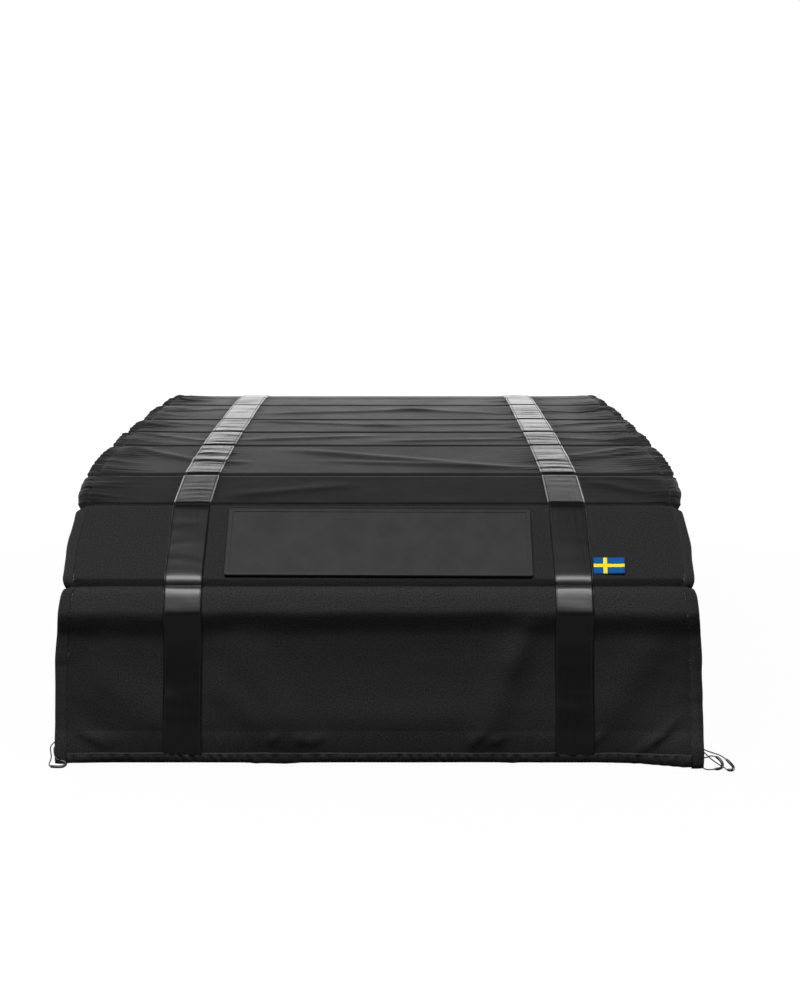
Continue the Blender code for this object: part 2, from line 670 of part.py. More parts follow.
def base():
    """Bar pads, the rubberised mat and the boards that stiffen it, drilled for the clamp bolts."""
    rubber = material("pad_rubber", RUBBER_BLACK, 0.85)
    mat_cloth = material("base_mat", BLACK_CLOTH, 0.7)
    board = material("base_board", BOARD_BLACK, 0.6)
    cut_height = 0.2
    head_room = (BOLT_HEAD / 2 + BOLT_HOLE_PLAY) * math.sqrt(2)
    bolt_room = BOLT_RADIUS + BOLT_HOLE_PLAY
    for name, y in (("front", -PAD_Y), ("rear", PAD_Y)):
        half = (PAD_SIZE[0] / 2, PAD_SIZE[1] / 2)
        pad = slab(f"bar_pad_{name}", plan(-half[0], half[0], y - half[1], y + half[1]),
                   0.0, PAD_HEIGHT, rubber, axis="Z")
        places = [p for p in clamp_places() if p[1] == y]
        cut_holes(pad, head_room, places, cut_height, square=True)
    front, rear = FRONT_Y + MAT_SETBACK, REAR_Y - MAT_SETBACK
    mat = slab("base_mat", plan(-MAT_HALF_WIDTH, MAT_HALF_WIDTH, front, rear),
               PAD_HEIGHT + GAP, MAT_TOP, mat_cloth, axis="Z")
    cut_holes(mat, bolt_room, clamp_places(), cut_height)
    ends = (front + BASE_BOARD_SPACE, rear - BASE_BOARD_SPACE)
    pitch = (ends[1] - ends[0] + BASE_BOARD_SPACE) / BASE_BOARD_COUNT
    for k in range(BASE_BOARD_COUNT):
        low = ends[0] + k * pitch
        high = low + pitch - BASE_BOARD_SPACE
        shape = plan(-BASE_BOARD_HALF_WIDTH, BASE_BOARD_HALF_WIDTH, low, high)
        piece = slab(f"base_board_{k + 1}", shape, BOARD_BOTTOM, BOARD_TOP, board, axis="Z")
        cut_holes(piece, bolt_room, [p for p in clamp_places() if low < p[1] < high], cut_height)


def clamps():
    """T-headed bolts for the roof bars, pressure plates on the boards and a star knob on each."""
    steel = material("clamp_steel", STEEL, 0.35, 1.0)
    plastic = material("knob_plastic", BOARD_BLACK, 0.5)
    bolt_top = KNOB_BOTTOM + KNOB_BORE_DEPTH - GAP
    head_low = PAD_HEIGHT - GAP - BOLT_HEAD_HEIGHT
    for index, (x, y) in enumerate(clamp_places()):
        bolt = clamp_bolt(x, y, head_low, bolt_top)
        add_object(f"clamp_bolt_{index + 1}", bolt, steel)
        add_object(f"clamp_plate_{index + 1}", plate_with_hole(x, y), steel)
        holder = axis_empty(f"knob_{index + 1}_axis", (x, y, KNOB_BOTTOM))
        knob = star_knob(index, x, y, plastic, holder)
        bm = bmesh.new()
        bmesh.ops.create_cone(bm, cap_ends=True, segments=HOLE_SIDES, radius1=BOLT_RADIUS + BOLT_HOLE_PLAY,
                              radius2=BOLT_RADIUS + BOLT_HOLE_PLAY, depth=2 * KNOB_BORE_DEPTH)
        bmesh.ops.translate(bm, verts=bm.verts, vec=(x, y, KNOB_BOTTOM))
        cutter = add_object(f"knob_{index + 1}_bore", bm, plastic, holder)
        cutter.hide_render = True
        cutter.display_type = "WIRE"
        cut = knob.modifiers.new("bore", "BOOLEAN")
        cut.operation = "DIFFERENCE"
        cut.solver = "EXACT"
        cut.object = cutter


def clamp_bolt(x, y, head_low, bolt_top):
    """A bolt with a square head, its underside fanned out from the shank."""
    bm = bmesh.new()
    half = BOLT_HEAD / 2
    steps = HOLE_SIDES
    corners = [(-half, -half), (half, -half), (half, half), (-half, half)]
    low = [bm.verts.new((x + a, y + b, head_low)) for a, b in corners]
    high = [bm.verts.new((x + a, y + b, head_low + BOLT_HEAD_HEIGHT)) for a, b in corners]
    turns = [2 * math.pi * (k + 0.5) / steps + math.pi for k in range(steps)]
    circle = [(x + BOLT_RADIUS * math.cos(t), y + BOLT_RADIUS * math.sin(t)) for t in turns]
    foot = [bm.verts.new((*p, head_low + BOLT_HEAD_HEIGHT)) for p in circle]
    tip = [bm.verts.new((*p, bolt_top)) for p in circle]
    bm.faces.new(low)
    bm.faces.new(tip)
    for k in range(4):
        after = (k + 1) % 4
        bm.faces.new((low[k], low[after], high[after], high[k]))
        quarter = [foot[(k * 4 + j) % steps] for j in range(5)]
        bm.faces.new((high[k], high[after], *reversed(quarter)))
    for k in range(steps):
        after = (k + 1) % steps
        bm.faces.new((foot[k], foot[after], tip[after], tip[k]))
    return bm


def plate_with_hole(x, y):
    """A pressure plate with a round hole, its top and underside fanned between hole and rim."""
    bm = bmesh.new()
    half = (PLATE_SIZE[0] / 2, PLATE_SIZE[1] / 2)
    steps = HOLE_SIDES
    radius = BOLT_RADIUS + BOLT_HOLE_PLAY
    levels = []
    for z in (PLATE_BOTTOM, PLATE_TOP):
        corners = [(-half[0], -half[1]), (half[0], -half[1]), half, (-half[0], half[1])]
        rim = [bm.verts.new((x + a, y + b, z)) for a, b in corners]
        turns = [2 * math.pi * (k + 0.5) / steps + math.pi for k in range(steps)]
        hole = [bm.verts.new((x + radius * math.cos(t), y + radius * math.sin(t), z)) for t in turns]
        for k in range(4):
            quarter = [hole[(k * 4 + j) % steps] for j in range(5)]
            bm.faces.new((rim[k], rim[(k + 1) % 4], *reversed(quarter)))
        levels.append((rim, hole))
    for part, count in ((0, 4), (1, steps)):
        low, high = levels[0][part], levels[1][part]
        for k in range(count):
            after = (k + 1) % count
            bm.faces.new((low[k], low[after], high[after], high[k]))
    return bm


def star_knob(index, x, y, mat, holder):
    """A lobed hand knob, chamfered round the top."""
    points = KNOB_LOBES * KNOB_LOBE_POINTS

    def ring(scale, z):
        made = []
        for k in range(points):
            turn = 2 * math.pi * k / points
            dip = KNOB_LOBE_DEPTH / 2 * (1 - math.cos(KNOB_LOBES * turn))
            radius = (KNOB_RADIUS - dip) * scale
            made.append((x + radius * math.cos(turn), y + radius * math.sin(turn), z))
        return made

    top = KNOB_BOTTOM + KNOB_HEIGHT
    narrow = 1 - KNOB_CHAMFER / KNOB_RADIUS
    rings = [ring(narrow, KNOB_BOTTOM), ring(1.0, KNOB_BOTTOM + KNOB_CHAMFER),
             ring(1.0, top - KNOB_CHAMFER), ring(narrow, top)]
    return loft(f"clamp_knob_{index + 1}", rings, mat, holder, 40)


def main():
    clear_scene()
    cover()
    hems_and_straps()
    badge_and_label()
    base()
    clamps()
    sliders = {}
    for side, sign in (("left", -1), ("right", 1)):
        wall = side_wall(side, sign)
        zips(side, sign, wall)
        sliders[side] = slider(side, sign)
    pulls(sliders)


main()
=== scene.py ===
"""Looks of the soft roof box: cloth, webbing, stitching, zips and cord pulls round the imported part."""

import math

import bmesh
import bpy
import numpy as np
from mathutils import Matrix, Vector


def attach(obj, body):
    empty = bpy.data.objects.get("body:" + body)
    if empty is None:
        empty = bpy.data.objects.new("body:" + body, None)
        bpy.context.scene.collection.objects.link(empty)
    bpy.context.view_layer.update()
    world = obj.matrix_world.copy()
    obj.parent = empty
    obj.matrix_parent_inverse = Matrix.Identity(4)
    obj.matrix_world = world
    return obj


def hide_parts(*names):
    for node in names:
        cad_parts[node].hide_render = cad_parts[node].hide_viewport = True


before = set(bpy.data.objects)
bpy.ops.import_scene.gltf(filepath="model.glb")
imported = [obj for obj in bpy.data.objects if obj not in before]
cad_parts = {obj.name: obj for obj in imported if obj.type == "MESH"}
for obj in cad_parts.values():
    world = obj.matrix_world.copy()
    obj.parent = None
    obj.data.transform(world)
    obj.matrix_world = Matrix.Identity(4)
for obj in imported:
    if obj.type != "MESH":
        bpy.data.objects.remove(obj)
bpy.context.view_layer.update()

# Folds of the cover in the side view (Y, Z), from the front hem over the top to the rear hem
FOLDS = [(-0.800, 0.006), (-0.786, 0.238), (-0.668, 0.327), (-0.488, 0.345), (-0.210, 0.356),
         (-0.042, 0.360), (0.160, 0.361), (0.429, 0.362), (0.597, 0.360), (0.742, 0.353),
         (0.786, 0.312), (0.793, 0.170), (0.800, 0.006)]
FOLD_AT = np.concatenate([[0.0], np.cumsum([math.dist(a, b) for a, b in zip(FOLDS, FOLDS[1:])])])
LENGTH = FOLD_AT[-1]
FRONT_FOLD, BROW, SHOULDER = FOLD_AT[1:4]
REAR_BROW, REAR_DROP = FOLD_AT[9:11]
FOLD_ROUNDING = 0.006

# The pattern is a strip of constant half width, drawn in or let out along its length
HALF = 0.400
WIDTHS = [(0.0, 0.4070), (0.12, 0.4068), (FRONT_FOLD, 0.3990), (0.30, 0.3985), (BROW, 0.3925),
          (0.47, 0.4010), (SHOULDER, 0.4046), (0.70, 0.4050), (1.20, 0.4005), (1.62, 0.3965),
          (REAR_BROW, 0.3945), (REAR_DROP, 0.3935), (2.02, 0.4000), (LENGTH, 0.4050)]
SEAM_NIP = 0.0025

# Pillow height of each panel and the spare cloth in it, as a share of its length
CROWNS = [0.0030, 0.0012, 0.0030, 0.0055, 0.0050, 0.0050, 0.0050, 0.0042, 0.0035, 0.0020, 0.0040, 0.0030]
SPARE = [0.004, 0.002, 0.004, 0.030, 0.032, 0.030, 0.028, 0.030, 0.028, 0.010, 0.014, 0.008]

# Lift of each panel over its board
ROLLS = [0.0004, 0.0020, 0.0018, 0.0024, 0.0024, 0.0024, 0.0022, 0.0020, 0.0018, 0.0016, 0.0014, 0.0010]

# Groove of each seam: how deep it is, and how wide on its front side and on its rear side
GROOVES = [(0.0, 0.003, 0.003), (0.0048, 0.0028, 0.0080), (0.0020, 0.0030, 0.0030)]
GROOVES += [(0.0042, 0.0045, 0.0060)] * 6
GROOVES += [(0.0026, 0.0050, 0.0050), (0.0024, 0.0040, 0.0040), (0.0032, 0.0030, 0.0030), (0.0, 0.003, 0.003)]

FLAP_WIDTH = [(0.0, 0.0165), (0.20, 0.0165), (FRONT_FOLD, 0.0145), (BROW, 0.0160), (SHOULDER, 0.0168),
              (1.20, 0.0150), (REAR_BROW, 0.0135), (LENGTH, 0.0165)]
FLAP_DROOP = 0.0035
FLAP_THICKNESS = 0.0018

STRAP_WIDTH = 0.050
STRAP_CENTRES = [(0.0, 0.2562), (0.20, 0.2550), (BROW, 0.2530), (SHOULDER, 0.2548), (1.1, 0.2530),
                 (REAR_BROW, 0.2550), (LENGTH, 0.2560)]
STRAP_THICKNESS = 0.0013
HEM_HEIGHT = 0.0140

BADGE_SIZE = (0.4040, 0.1225)
BADGE_THICKNESS = 0.0034
BADGE_RIM = 0.0055
BADGE_CENTRE_X = 0.0
BADGE_TURN = -0.0055
BADGE_LIFT = 0.0042
LABEL_SIZE = (0.0405, 0.0290)
LABEL_RISE = 0.0185
LABEL_LEFT = 0.2550 + STRAP_WIDTH / 2 + 0.0012

CORD_RADIUS = 0.0008
GRIP_RADIUS = 0.0020

# Radius of the sewing thread on the cover, and on the walls and the mat; length of its stitches
COVER_THREAD = 0.00042
INNER_THREAD = 0.00045
STITCH_PITCH = {"edge": 0.0046, "strap": 0.0042, "seam": 0.0044, "hem": 0.0042, "wall": 0.0048,
                "quilting": 0.0046, "mat": 0.0055}

# Thickness of the thin layers
LAYER = {"hem": 0.0012, "wall": 0.0011, "lining": 0.0010, "zip_tape": 0.0009, "mat": 0.0026,
         "edge_tape": 0.0006, "tab": 0.0007}
LINING_DEPTH = 0.0066

# Walls and zips: height of the mat's top, depths inside the cover, the wall's two quilted joints (Y)
FLOOR_TOP = 0.0113
WALL_DEPTH = 0.0255
WALL_CORNER = 0.022
WALL_JOINTS = (-0.330, 0.200)
ZIP_DEPTH = 0.019
ZIP_X = 0.391
TOOTH_PITCH = 0.0030
TOOTH_SIZE = (0.0029, 0.0024, 0.0014)
TOOTH_OFFSET = 0.0018
WALL_BOTTOM = FLOOR_TOP + 0.0003
STITCH_BOTTOM = FLOOR_TOP + 0.004
QUILT_TOP = 0.320

# Zip halves: owner, side of the chain, depth and corner radius of the tape's sewn edge, lowest point
ZIP_HALVES = [("cover", -1, 0.0074, 0.008, WALL_BOTTOM), ("wall", 1, 0.0300, WALL_CORNER, 0.0386)]

# Wall layers: kind, solid's name, X of the layer's middle, way its quilting swells, slot, face above middle
WALL_LAYERS = [("cloth", "wall_skin", 0.3896, 1, "wall_cloth", 0.0021),
               ("lining", "wall_lining", 0.3838, -1, "lining", 0.0006)]

# Base mat: half width and half length, half side of the bolts' holes, the bolts' X and Y, its edge tape
MAT_HALF = 0.395
MAT_END = 0.7925
BOLT_HOLE = 0.0036
BOLT_X, BOLT_Y = (-0.25, 0.25), (-0.4, 0.4)
EDGE_TAPE_WIDTH = 0.013


def smooth(low, high, value):
    t = np.clip((np.asarray(value, float) - low) / (high - low), 0.0, 1.0)
    return t * t * (3 - 2 * t)


def bump(value, centre, width):
    return np.exp(-((np.asarray(value, float) - centre) / width) ** 2)


def from_table(table, s):
    """A value along the length, eased between the table's places."""
    places = [p for p, _ in table]
    values = [v for _, v in table]
    s = np.asarray(s, float)
    k = np.clip(np.searchsorted(places, s) - 1, 0, len(places) - 2)
    low, high = np.array(places)[k], np.array(places)[k + 1]
    t = smooth(0, 1, (s - low) / (high - low))
    return np.array(values)[k] * (1 - t) + np.array(values)[k + 1] * t


def waves(value, seed, length, count=5, spread=0.6):
    """An irregular wave of about this length, between -1 and 1."""
    rng = np.random.default_rng(seed)
    total = np.zeros_like(np.asarray(value, float))
    for _ in range(count):
        own = length * (1 + spread * (rng.random() - 0.5) * 2)
        total += np.sin(2 * math.pi * (np.asarray(value, float) / own + rng.random()))
    return total / math.sqrt(count) / 1.3


def line_at(s):
    """The straight-sided profile at arc length s, also a little past its ends."""
    ends = np.array([FOLDS[0], FOLDS[-1]])
    into = np.array(FOLDS[1]) - ends[0]
    out = ends[1] - np.array(FOLDS[-2])
    reach = 0.05
    places = np.concatenate([[-reach], FOLD_AT, [LENGTH + reach]])
    first = ends[0] - into / np.linalg.norm(into) * reach
    last = ends[1] + out / np.linalg.norm(out) * reach
    points = np.vstack([first, FOLDS, last])
    return np.interp(s, places, points[:, 0]), np.interp(s, places, points[:, 1])


def profile(s):
    """Rounded profile: Y, Z and the outward normal's Y, Z."""
    s = np.asarray(s, float)
    offsets = np.linspace(-FOLD_ROUNDING, FOLD_ROUNDING, 9)
    samples = [line_at(s + o) for o in offsets]
    y = np.mean([p[0] for p in samples], axis=0)
    z = np.mean([p[1] for p in samples], axis=0)
    after, before = line_at(s + FOLD_ROUNDING), line_at(s - FOLD_ROUNDING)
    dy, dz = after[0] - before[0], after[1] - before[1]
    size = np.hypot(dy, dz)
    return y, z, -dz / size, dy / size


def half_width(s):
    """Distance from the middle to the edge stitching, nipped in at every seam."""
    width = from_table(WIDTHS, s)
    for place in FOLD_AT[1:-1]:
        width = width - SEAM_NIP * bump(s, place, 0.009)
    return width


def strap_centre(s):
    return from_table(STRAP_CENTRES, s)


def to_pattern(x, s):
    """A real X on the cover as a place across the pattern strip."""
    return np.asarray(x, float) * HALF / half_width(s)


def panel_share(s):
    """The panel's number and the place in it from 0 to 1."""
    s = np.asarray(s, float)
    k = np.clip(np.searchsorted(FOLD_AT, s, side="right") - 1, 0, len(FOLD_AT) - 2)
    t = (s - FOLD_AT[k]) / (FOLD_AT[k + 1] - FOLD_AT[k])
    return k, np.clip(t, 0.0, 1.0)


# Cloth settling: a coarse sheet with spare length in each panel, held along its seams
SETTLE_CELL = 0.0070
SETTLE_FRAMES = 24
SETTLE_LOW, SETTLE_HIGH = -0.0002, 0.0120


def settle_rows():
    """Arc lengths of the settling sheet's rows, and which of them are seams."""
    rows, seams = [0.0], [0]
    for start, end in zip(FOLD_AT, FOLD_AT[1:]):
        count = max(6, round((end - start) / SETTLE_CELL))
        rows += list(start + (end - start) * np.arange(1, count + 1) / count)
        seams.append(len(rows) - 1)
    return np.array(rows), seams


def settle_cover():
    """Runs the cloth and returns its rows, columns and how far each point moved (X, along, out)."""
    rows, seams = settle_rows()
    columns = round(2 * HALF / SETTLE_CELL)
    bm = bmesh.new()
    bmesh.ops.create_grid(bm, x_segments=columns, y_segments=len(rows) - 1, size=0.5)
    mesh = bpy.data.meshes.new("settling_sheet")
    bm.to_mesh(mesh)
    bm.free()
    co = np.empty(len(mesh.vertices) * 3)
    mesh.vertices.foreach_get("co", co)
    co = co.reshape(-1, 3)
    i = np.rint((co[:, 0] + 0.5) * columns).astype(int)
    j = np.rint((co[:, 1] + 0.5) * (len(rows) - 1)).astype(int)
    x = (i / columns * 2 - 1) * HALF
    s = rows[j]
    panel, share = panel_share(s)
    crown = np.array(CROWNS)[panel] * (1 - np.abs(2 * share - 1) ** 2)
    y, z, ny, nz = profile(s)
    wobble = 0.0006 * waves(s + 0.35 * x, 3, 0.045) * np.sin(math.pi * share)
    start = np.column_stack([x, y + ny * (crown + wobble), z + nz * (crown + wobble)])
    spare = np.array(SPARE)
    sizes = np.diff(FOLD_AT)
    cut_starts = np.concatenate([[0.0], np.cumsum(sizes * (1 + spare))])
    across = 1 + 0.35 * waves(x + 0.3 * panel, 11, 0.30)
    slack = spare[panel] * across
    cut = cut_starts[panel] + share * sizes[panel] * (1 + slack)
    flat = np.column_stack([x * 1.004, cut, np.zeros_like(x)])
    mesh.vertices.foreach_set("co", start.ravel())
    obj = bpy.data.objects.new("settling_sheet", mesh)
    bpy.context.scene.collection.objects.link(obj)
    obj.shape_key_add(name="Basis")
    key = obj.shape_key_add(name="cut")
    key.data.foreach_set("co", flat.ravel())
    key.value = 0.0
    held = obj.vertex_groups.new(name="held")
    seam_rows = np.isin(j, seams)
    edges = (i == 0) | (i == columns)
    held.add([int(v) for v in np.nonzero(seam_rows | edges)[0]], 1.0, "REPLACE")
    strap = np.zeros(len(x), bool)
    for sign in (-1, 1):
        for edge in (-1, 1):
            place = to_pattern(sign * strap_centre(s) + edge * STRAP_WIDTH / 2, s)
            strap |= np.abs(x - place) < SETTLE_CELL / 2
    held.add([int(v) for v in np.nonzero(strap & ~seam_rows & ~edges)[0]], 0.08, "REPLACE")
    cloth = obj.modifiers.new("cloth", "CLOTH")
    cloth.settings.vertex_group_mass = "held"
    cloth.settings.rest_shape_key = key
    cloth.settings.quality = 7
    cloth.settings.mass = 0.25
    cloth.settings.tension_stiffness = 25
    cloth.settings.compression_stiffness = 25
    cloth.settings.shear_stiffness = 8
    cloth.settings.bending_stiffness = 0.6
    cloth.settings.tension_damping = 8
    cloth.settings.compression_damping = 8
    cloth.settings.bending_damping = 1.0
    cloth.settings.air_damping = 3
    cloth.settings.use_pressure = True
    cloth.settings.uniform_pressure_force = 1.5
    cloth.settings.effector_weights.gravity = 0.15
    cloth.collision_settings.use_collision = False
    cloth.collision_settings.use_self_collision = False
    cloth.point_cache.frame_start = 1
    cloth.point_cache.frame_end = SETTLE_FRAMES
    scene = bpy.context.scene
    for number in range(1, SETTLE_FRAMES + 1):
        scene.frame_set(number)
    settled = obj.evaluated_get(bpy.context.evaluated_depsgraph_get())
    now = np.empty(len(mesh.vertices) * 3)
    settled.data.vertices.foreach_get("co", now)
    now = now.reshape(-1, 3)
    scene.frame_set(1)
    moved = now - np.column_stack([x, y, z])
    out = moved[:, 1] * ny + moved[:, 2] * nz
    along = moved[:, 1] * nz - moved[:, 2] * ny
    out = SETTLE_LOW + np.logaddexp(0, (out - SETTLE_LOW) / 0.0012) * 0.0012
    out = SETTLE_HIGH - np.logaddexp(0, (SETTLE_HIGH - out) / 0.0012) * 0.0012
    fields = np.zeros((3, len(rows), columns + 1))
    fields[0, j, i] = np.clip(moved[:, 0], -0.004, 0.004)
    fields[1, j, i] = np.clip(along, -0.006, 0.006)
    fields[2, j, i] = out
    bpy.data.objects.remove(obj, do_unlink=True)
    return rows, columns, fields


SHEET_ROWS, SHEET_COLUMNS, SHEET_FIELDS = settle_cover()


def cubic_weights(t):
    return [((-0.5 * t + 1) * t - 0.5) * t, (1.5 * t - 2.5) * t * t + 1,
            ((-1.5 * t + 2) * t + 0.5) * t, (0.5 * t - 0.5) * t * t]


def settled(x, s):
    """How far the settled cloth stands off the profile at pattern places: X, along, out."""
    u = np.clip((np.asarray(x, float) / HALF + 1) / 2 * SHEET_COLUMNS, 0, SHEET_COLUMNS - 1e-6)
    v = np.interp(s, SHEET_ROWS, np.arange(len(SHEET_ROWS)))
    v = np.clip(v, 0, len(SHEET_ROWS) - 1 - 1e-6)
    u, v = np.broadcast_arrays(u, v)
    i, j = np.floor(u).astype(int), np.floor(v).astype(int)
    wu, wv = cubic_weights(u - i), cubic_weights(v - j)
    total = np.zeros((3,) + u.shape)
    for a in range(4):
        row = np.clip(j + a - 1, 0, len(SHEET_ROWS) - 1)
        for b in range(4):
            column = np.clip(i + b - 1, 0, SHEET_COLUMNS)
            total += SHEET_FIELDS[:, row, column] * (wv[a] * wu[b])
    return total


# Folds laid where the photograph shows them: panel, start and end as (pattern X, share),
# height and width in metres
LAID_FOLDS = [
    (3, (-0.385, 0.93), (-0.27, 0.45), 0.0035, 0.011), (3, (-0.27, 0.45), (-0.20, 0.40), 0.0030, 0.012),
    (3, (-0.12, 0.80), (0.14, 0.30), 0.0040, 0.016), (3, (-0.06, 0.42), (0.20, 0.22), 0.0030, 0.013),
    (3, (0.385, 0.90), (0.27, 0.55), 0.0040, 0.013), (3, (0.385, 0.72), (0.28, 0.50), 0.0028, 0.010),
    (4, (-0.22, 0.40), (-0.02, 0.70), 0.0032, 0.012), (4, (-0.38, 0.80), (-0.28, 0.35), 0.0028, 0.010),
    (4, (0.22, 0.60), (0.38, 0.35), 0.0030, 0.011), (4, (0.02, 0.35), (0.22, 0.45), 0.0030, 0.012),
    (5, (-0.22, 0.88), (0.02, 0.45), 0.0035, 0.013), (5, (-0.02, 0.50), (0.22, 0.65), 0.0030, 0.012),
    (5, (-0.38, 0.75), (-0.27, 0.50), 0.0028, 0.011), (5, (0.27, 0.45), (0.38, 0.80), 0.0030, 0.011),
    (6, (-0.20, 0.40), (0.10, 0.66), 0.0040, 0.016), (6, (0.0, 0.70), (0.20, 0.42), 0.0035, 0.014),
    (6, (-0.38, 0.55), (-0.28, 0.75), 0.0030, 0.012), (6, (0.28, 0.60), (0.38, 0.45), 0.0030, 0.012),
    (2, (-0.20, 0.30), (-0.05, 0.62), 0.0016, 0.014), (2, (0.30, 0.75), (0.36, 0.40), 0.0014, 0.012),
]
PANEL_SIZES = np.diff(FOLD_AT)

# The lower front leans out under the fold to a soft ledge and falls back below it
LEDGE_BELOW_FOLD = 0.033
LEDGE_HEIGHT = 0.0120
LEDGE_FALL = 0.029

# Creases of the lower front: start and end as (X, height up the cloth), rise and half width
FRONT_CREASES = [
    (-0.385, 0.044, -0.350, 0.024, 0.0018, 0.0045), (-0.360, 0.040, -0.330, 0.030, 0.0012, 0.0045),
    (0.350, 0.030, 0.385, 0.062, 0.0022, 0.0045), (0.335, 0.018, 0.372, 0.046, 0.0014, 0.0045),
    (0.268, 0.022, 0.290, 0.045, 0.0014, 0.0050), (-0.140, 0.030, -0.129, 0.040, 0.0016, 0.0045),
    (-0.105, 0.036, -0.090, 0.029, 0.0016, 0.0050), (-0.085, 0.029, -0.070, 0.037, 0.0014, 0.0045),
    (0.118, 0.024, 0.132, 0.042, 0.0018, 0.0045), (0.142, 0.028, 0.160, 0.034, 0.0016, 0.0045),
    (0.135, 0.035, 0.178, 0.150, 0.0040, 0.0240), (0.165, 0.120, 0.200, 0.190, 0.0024, 0.0160),
    (-0.180, 0.150, -0.110, 0.045, 0.0030, 0.0260), (-0.215, 0.110, -0.150, 0.050, 0.0024, 0.0180),
    (-0.270, 0.055, -0.370, 0.115, 0.0030, 0.0300), (0.290, 0.060, 0.345, 0.150, 0.0028, 0.0260),
    (0.020, 0.060, 0.110, 0.064, 0.0018, 0.0200), (-0.060, 0.062, 0.020, 0.060, 0.0014, 0.0200)]
BADGE_RISE = PANEL_SIZES[1] * 0.502


def beside(x, s, start, end):
    """Share along the line from start to end, and the distance aside from it."""
    run = np.subtract(end, start)
    reach = np.linalg.norm(run)
    run = run / reach
    px, ps = x - start[0], s - start[1]
    return (px * run[0] + ps * run[1]) / reach, px * run[1] - ps * run[0]


def laid_folds(x, panel, share):
    total = np.zeros_like(x)
    for number, start, end, height, width in LAID_FOLDS:
        size = PANEL_SIZES[number]
        along, aside = beside(x, share * size, (start[0], start[1] * size), (end[0], end[1] * size))
        fade = smooth(-0.25, 0.2, along) * (1 - smooth(0.75, 1.3, along))
        ends = smooth(0, 0.12, share) * (1 - smooth(0.88, 1, share))
        total += (panel == number) * 0.62 * height * fade * ends * bump(aside, 0, 1.25 * width)
    return total


def grooves(x, s):
    """Depth of the seams' grooves, which wander a little across the cover."""
    total = np.zeros(np.broadcast(x, s).shape)
    for place, (depth, before, after) in zip(FOLD_AT, GROOVES):
        at = s - place - 0.0007 * waves(x, int(place * 1000) + 5, 0.12, count=3)
        total += depth * np.exp(-(at / np.where(at < 0, before, after)) ** 2)
    return total


def rolls(s, panel):
    """Lift of each panel over its board, which falls off in a roll at the seams."""
    away = np.abs(np.asarray(s)[..., None] - FOLD_AT[1:-1])
    fall = np.array([1.0, 0.35] + [1.0] * (len(FOLD_AT) - 4)) * np.exp(-(away / 0.0065) ** 2)
    return np.array(ROLLS)[panel] * (1 - np.max(fall, axis=-1))


def edge_ripples(x, s, panel, share):
    """Fine ripples that fan out from the edge stitching of the top panels."""
    top = ((panel >= 3) & (panel <= 8)).astype(float)
    near = smooth(0.30, 0.385, np.abs(x)) * np.sin(math.pi * share) ** 0.7
    fan = s + (np.abs(x) - 0.39) * 0.55 * (share - 0.35)
    ripple = waves(fan + 0.11 * np.sign(x), 21, 0.0165, count=4, spread=0.25)
    return top * near * 0.00085 * ripple


def strap_gather(x, s, panel, share):
    """Short creases beside the straps' stitching, where the cloth is drawn in."""
    total = np.zeros_like(x)
    amount = np.where((panel >= 3) & (panel <= 8), 0.0008, 0.0002)
    for sign in (-1, 1):
        for edge in (-1, 1):
            place = to_pattern(sign * strap_centre(s) + edge * STRAP_WIDTH / 2, s)
            away = (x - place) * sign * edge
            near = np.where(away > 0, np.exp(-away / 0.030), np.exp(away / 0.010))
            ripple = waves(s + 0.25 * away * sign, 31 + sign + 2 * edge, 0.021, count=4, spread=0.35)
            total += amount * near * ripple * np.sin(math.pi * share) ** 0.5
    return total


def front_shape(x, s):
    """The lower front's soft ridge under the fold, its flared corners and its faint creases."""
    on_front = 1 - smooth(FRONT_FOLD - 0.012, FRONT_FOLD, s)
    below = FRONT_FOLD - s
    middle = LEDGE_BELOW_FOLD + 0.0022 * waves(x, 41, 0.30, count=3) + 0.004 * smooth(0.17, 0.30, np.abs(x))
    upper = LEDGE_HEIGHT * (middle - below) / LEDGE_BELOW_FOLD
    lower = LEDGE_HEIGHT * (below - middle) / LEDGE_FALL
    soft = 0.0011
    ridge = LEDGE_HEIGHT - soft * np.logaddexp(upper / soft, lower / soft)
    ridge = soft * np.logaddexp(0, ridge / soft) * smooth(0, 0.010, below)
    hollow = -0.0030 * bump(below, 0.105, 0.045)
    belly = 0.0080 * bump(s, 0.034, 0.044) * (0.8 + 0.2 * waves(x, 42, 0.35, count=3))
    flare_right = 0.0170 * smooth(0.31, 0.405, x) * (1 - smooth(0.004, 0.085, s))
    flare_left = 0.0045 * smooth(0.33, 0.405, -x) * (1 - smooth(0.004, 0.060, s))
    creases = 0.0
    for ax, az, bx, bz, height, wide in FRONT_CREASES:
        along, aside = beside(x, s, (ax, az), (bx, bz))
        fade = smooth(-0.3, 0.2, along) * (1 - smooth(0.8, 1.3, along))
        creases = creases + 1.8 * height * fade * bump(aside, 0, wide)
    rumple = 0.0006 * waves(x * 0.8 + s, 43, 0.075, count=6) * waves(s - 0.5 * x, 44, 0.09, count=4)
    hem_puckers = 0.0007 * waves(x, 45, 0.018, count=5) * bump(s, 0.030, 0.014)
    return on_front * (ridge + hollow + belly + creases + rumple + hem_puckers) + flare_right + flare_left


def height(x, s):
    """Everything that stands off the profile and doesn't come from the settled cloth."""
    panel, share = panel_share(s)
    seams = -grooves(x, s)
    edge = -0.0016 * bump(np.abs(x), HALF - 0.001, 0.0032)
    return (seams + edge + rolls(s, panel) + laid_folds(x, panel, share) + edge_ripples(x, s, panel, share)
            + strap_gather(x, s, panel, share) + front_shape(x, s))


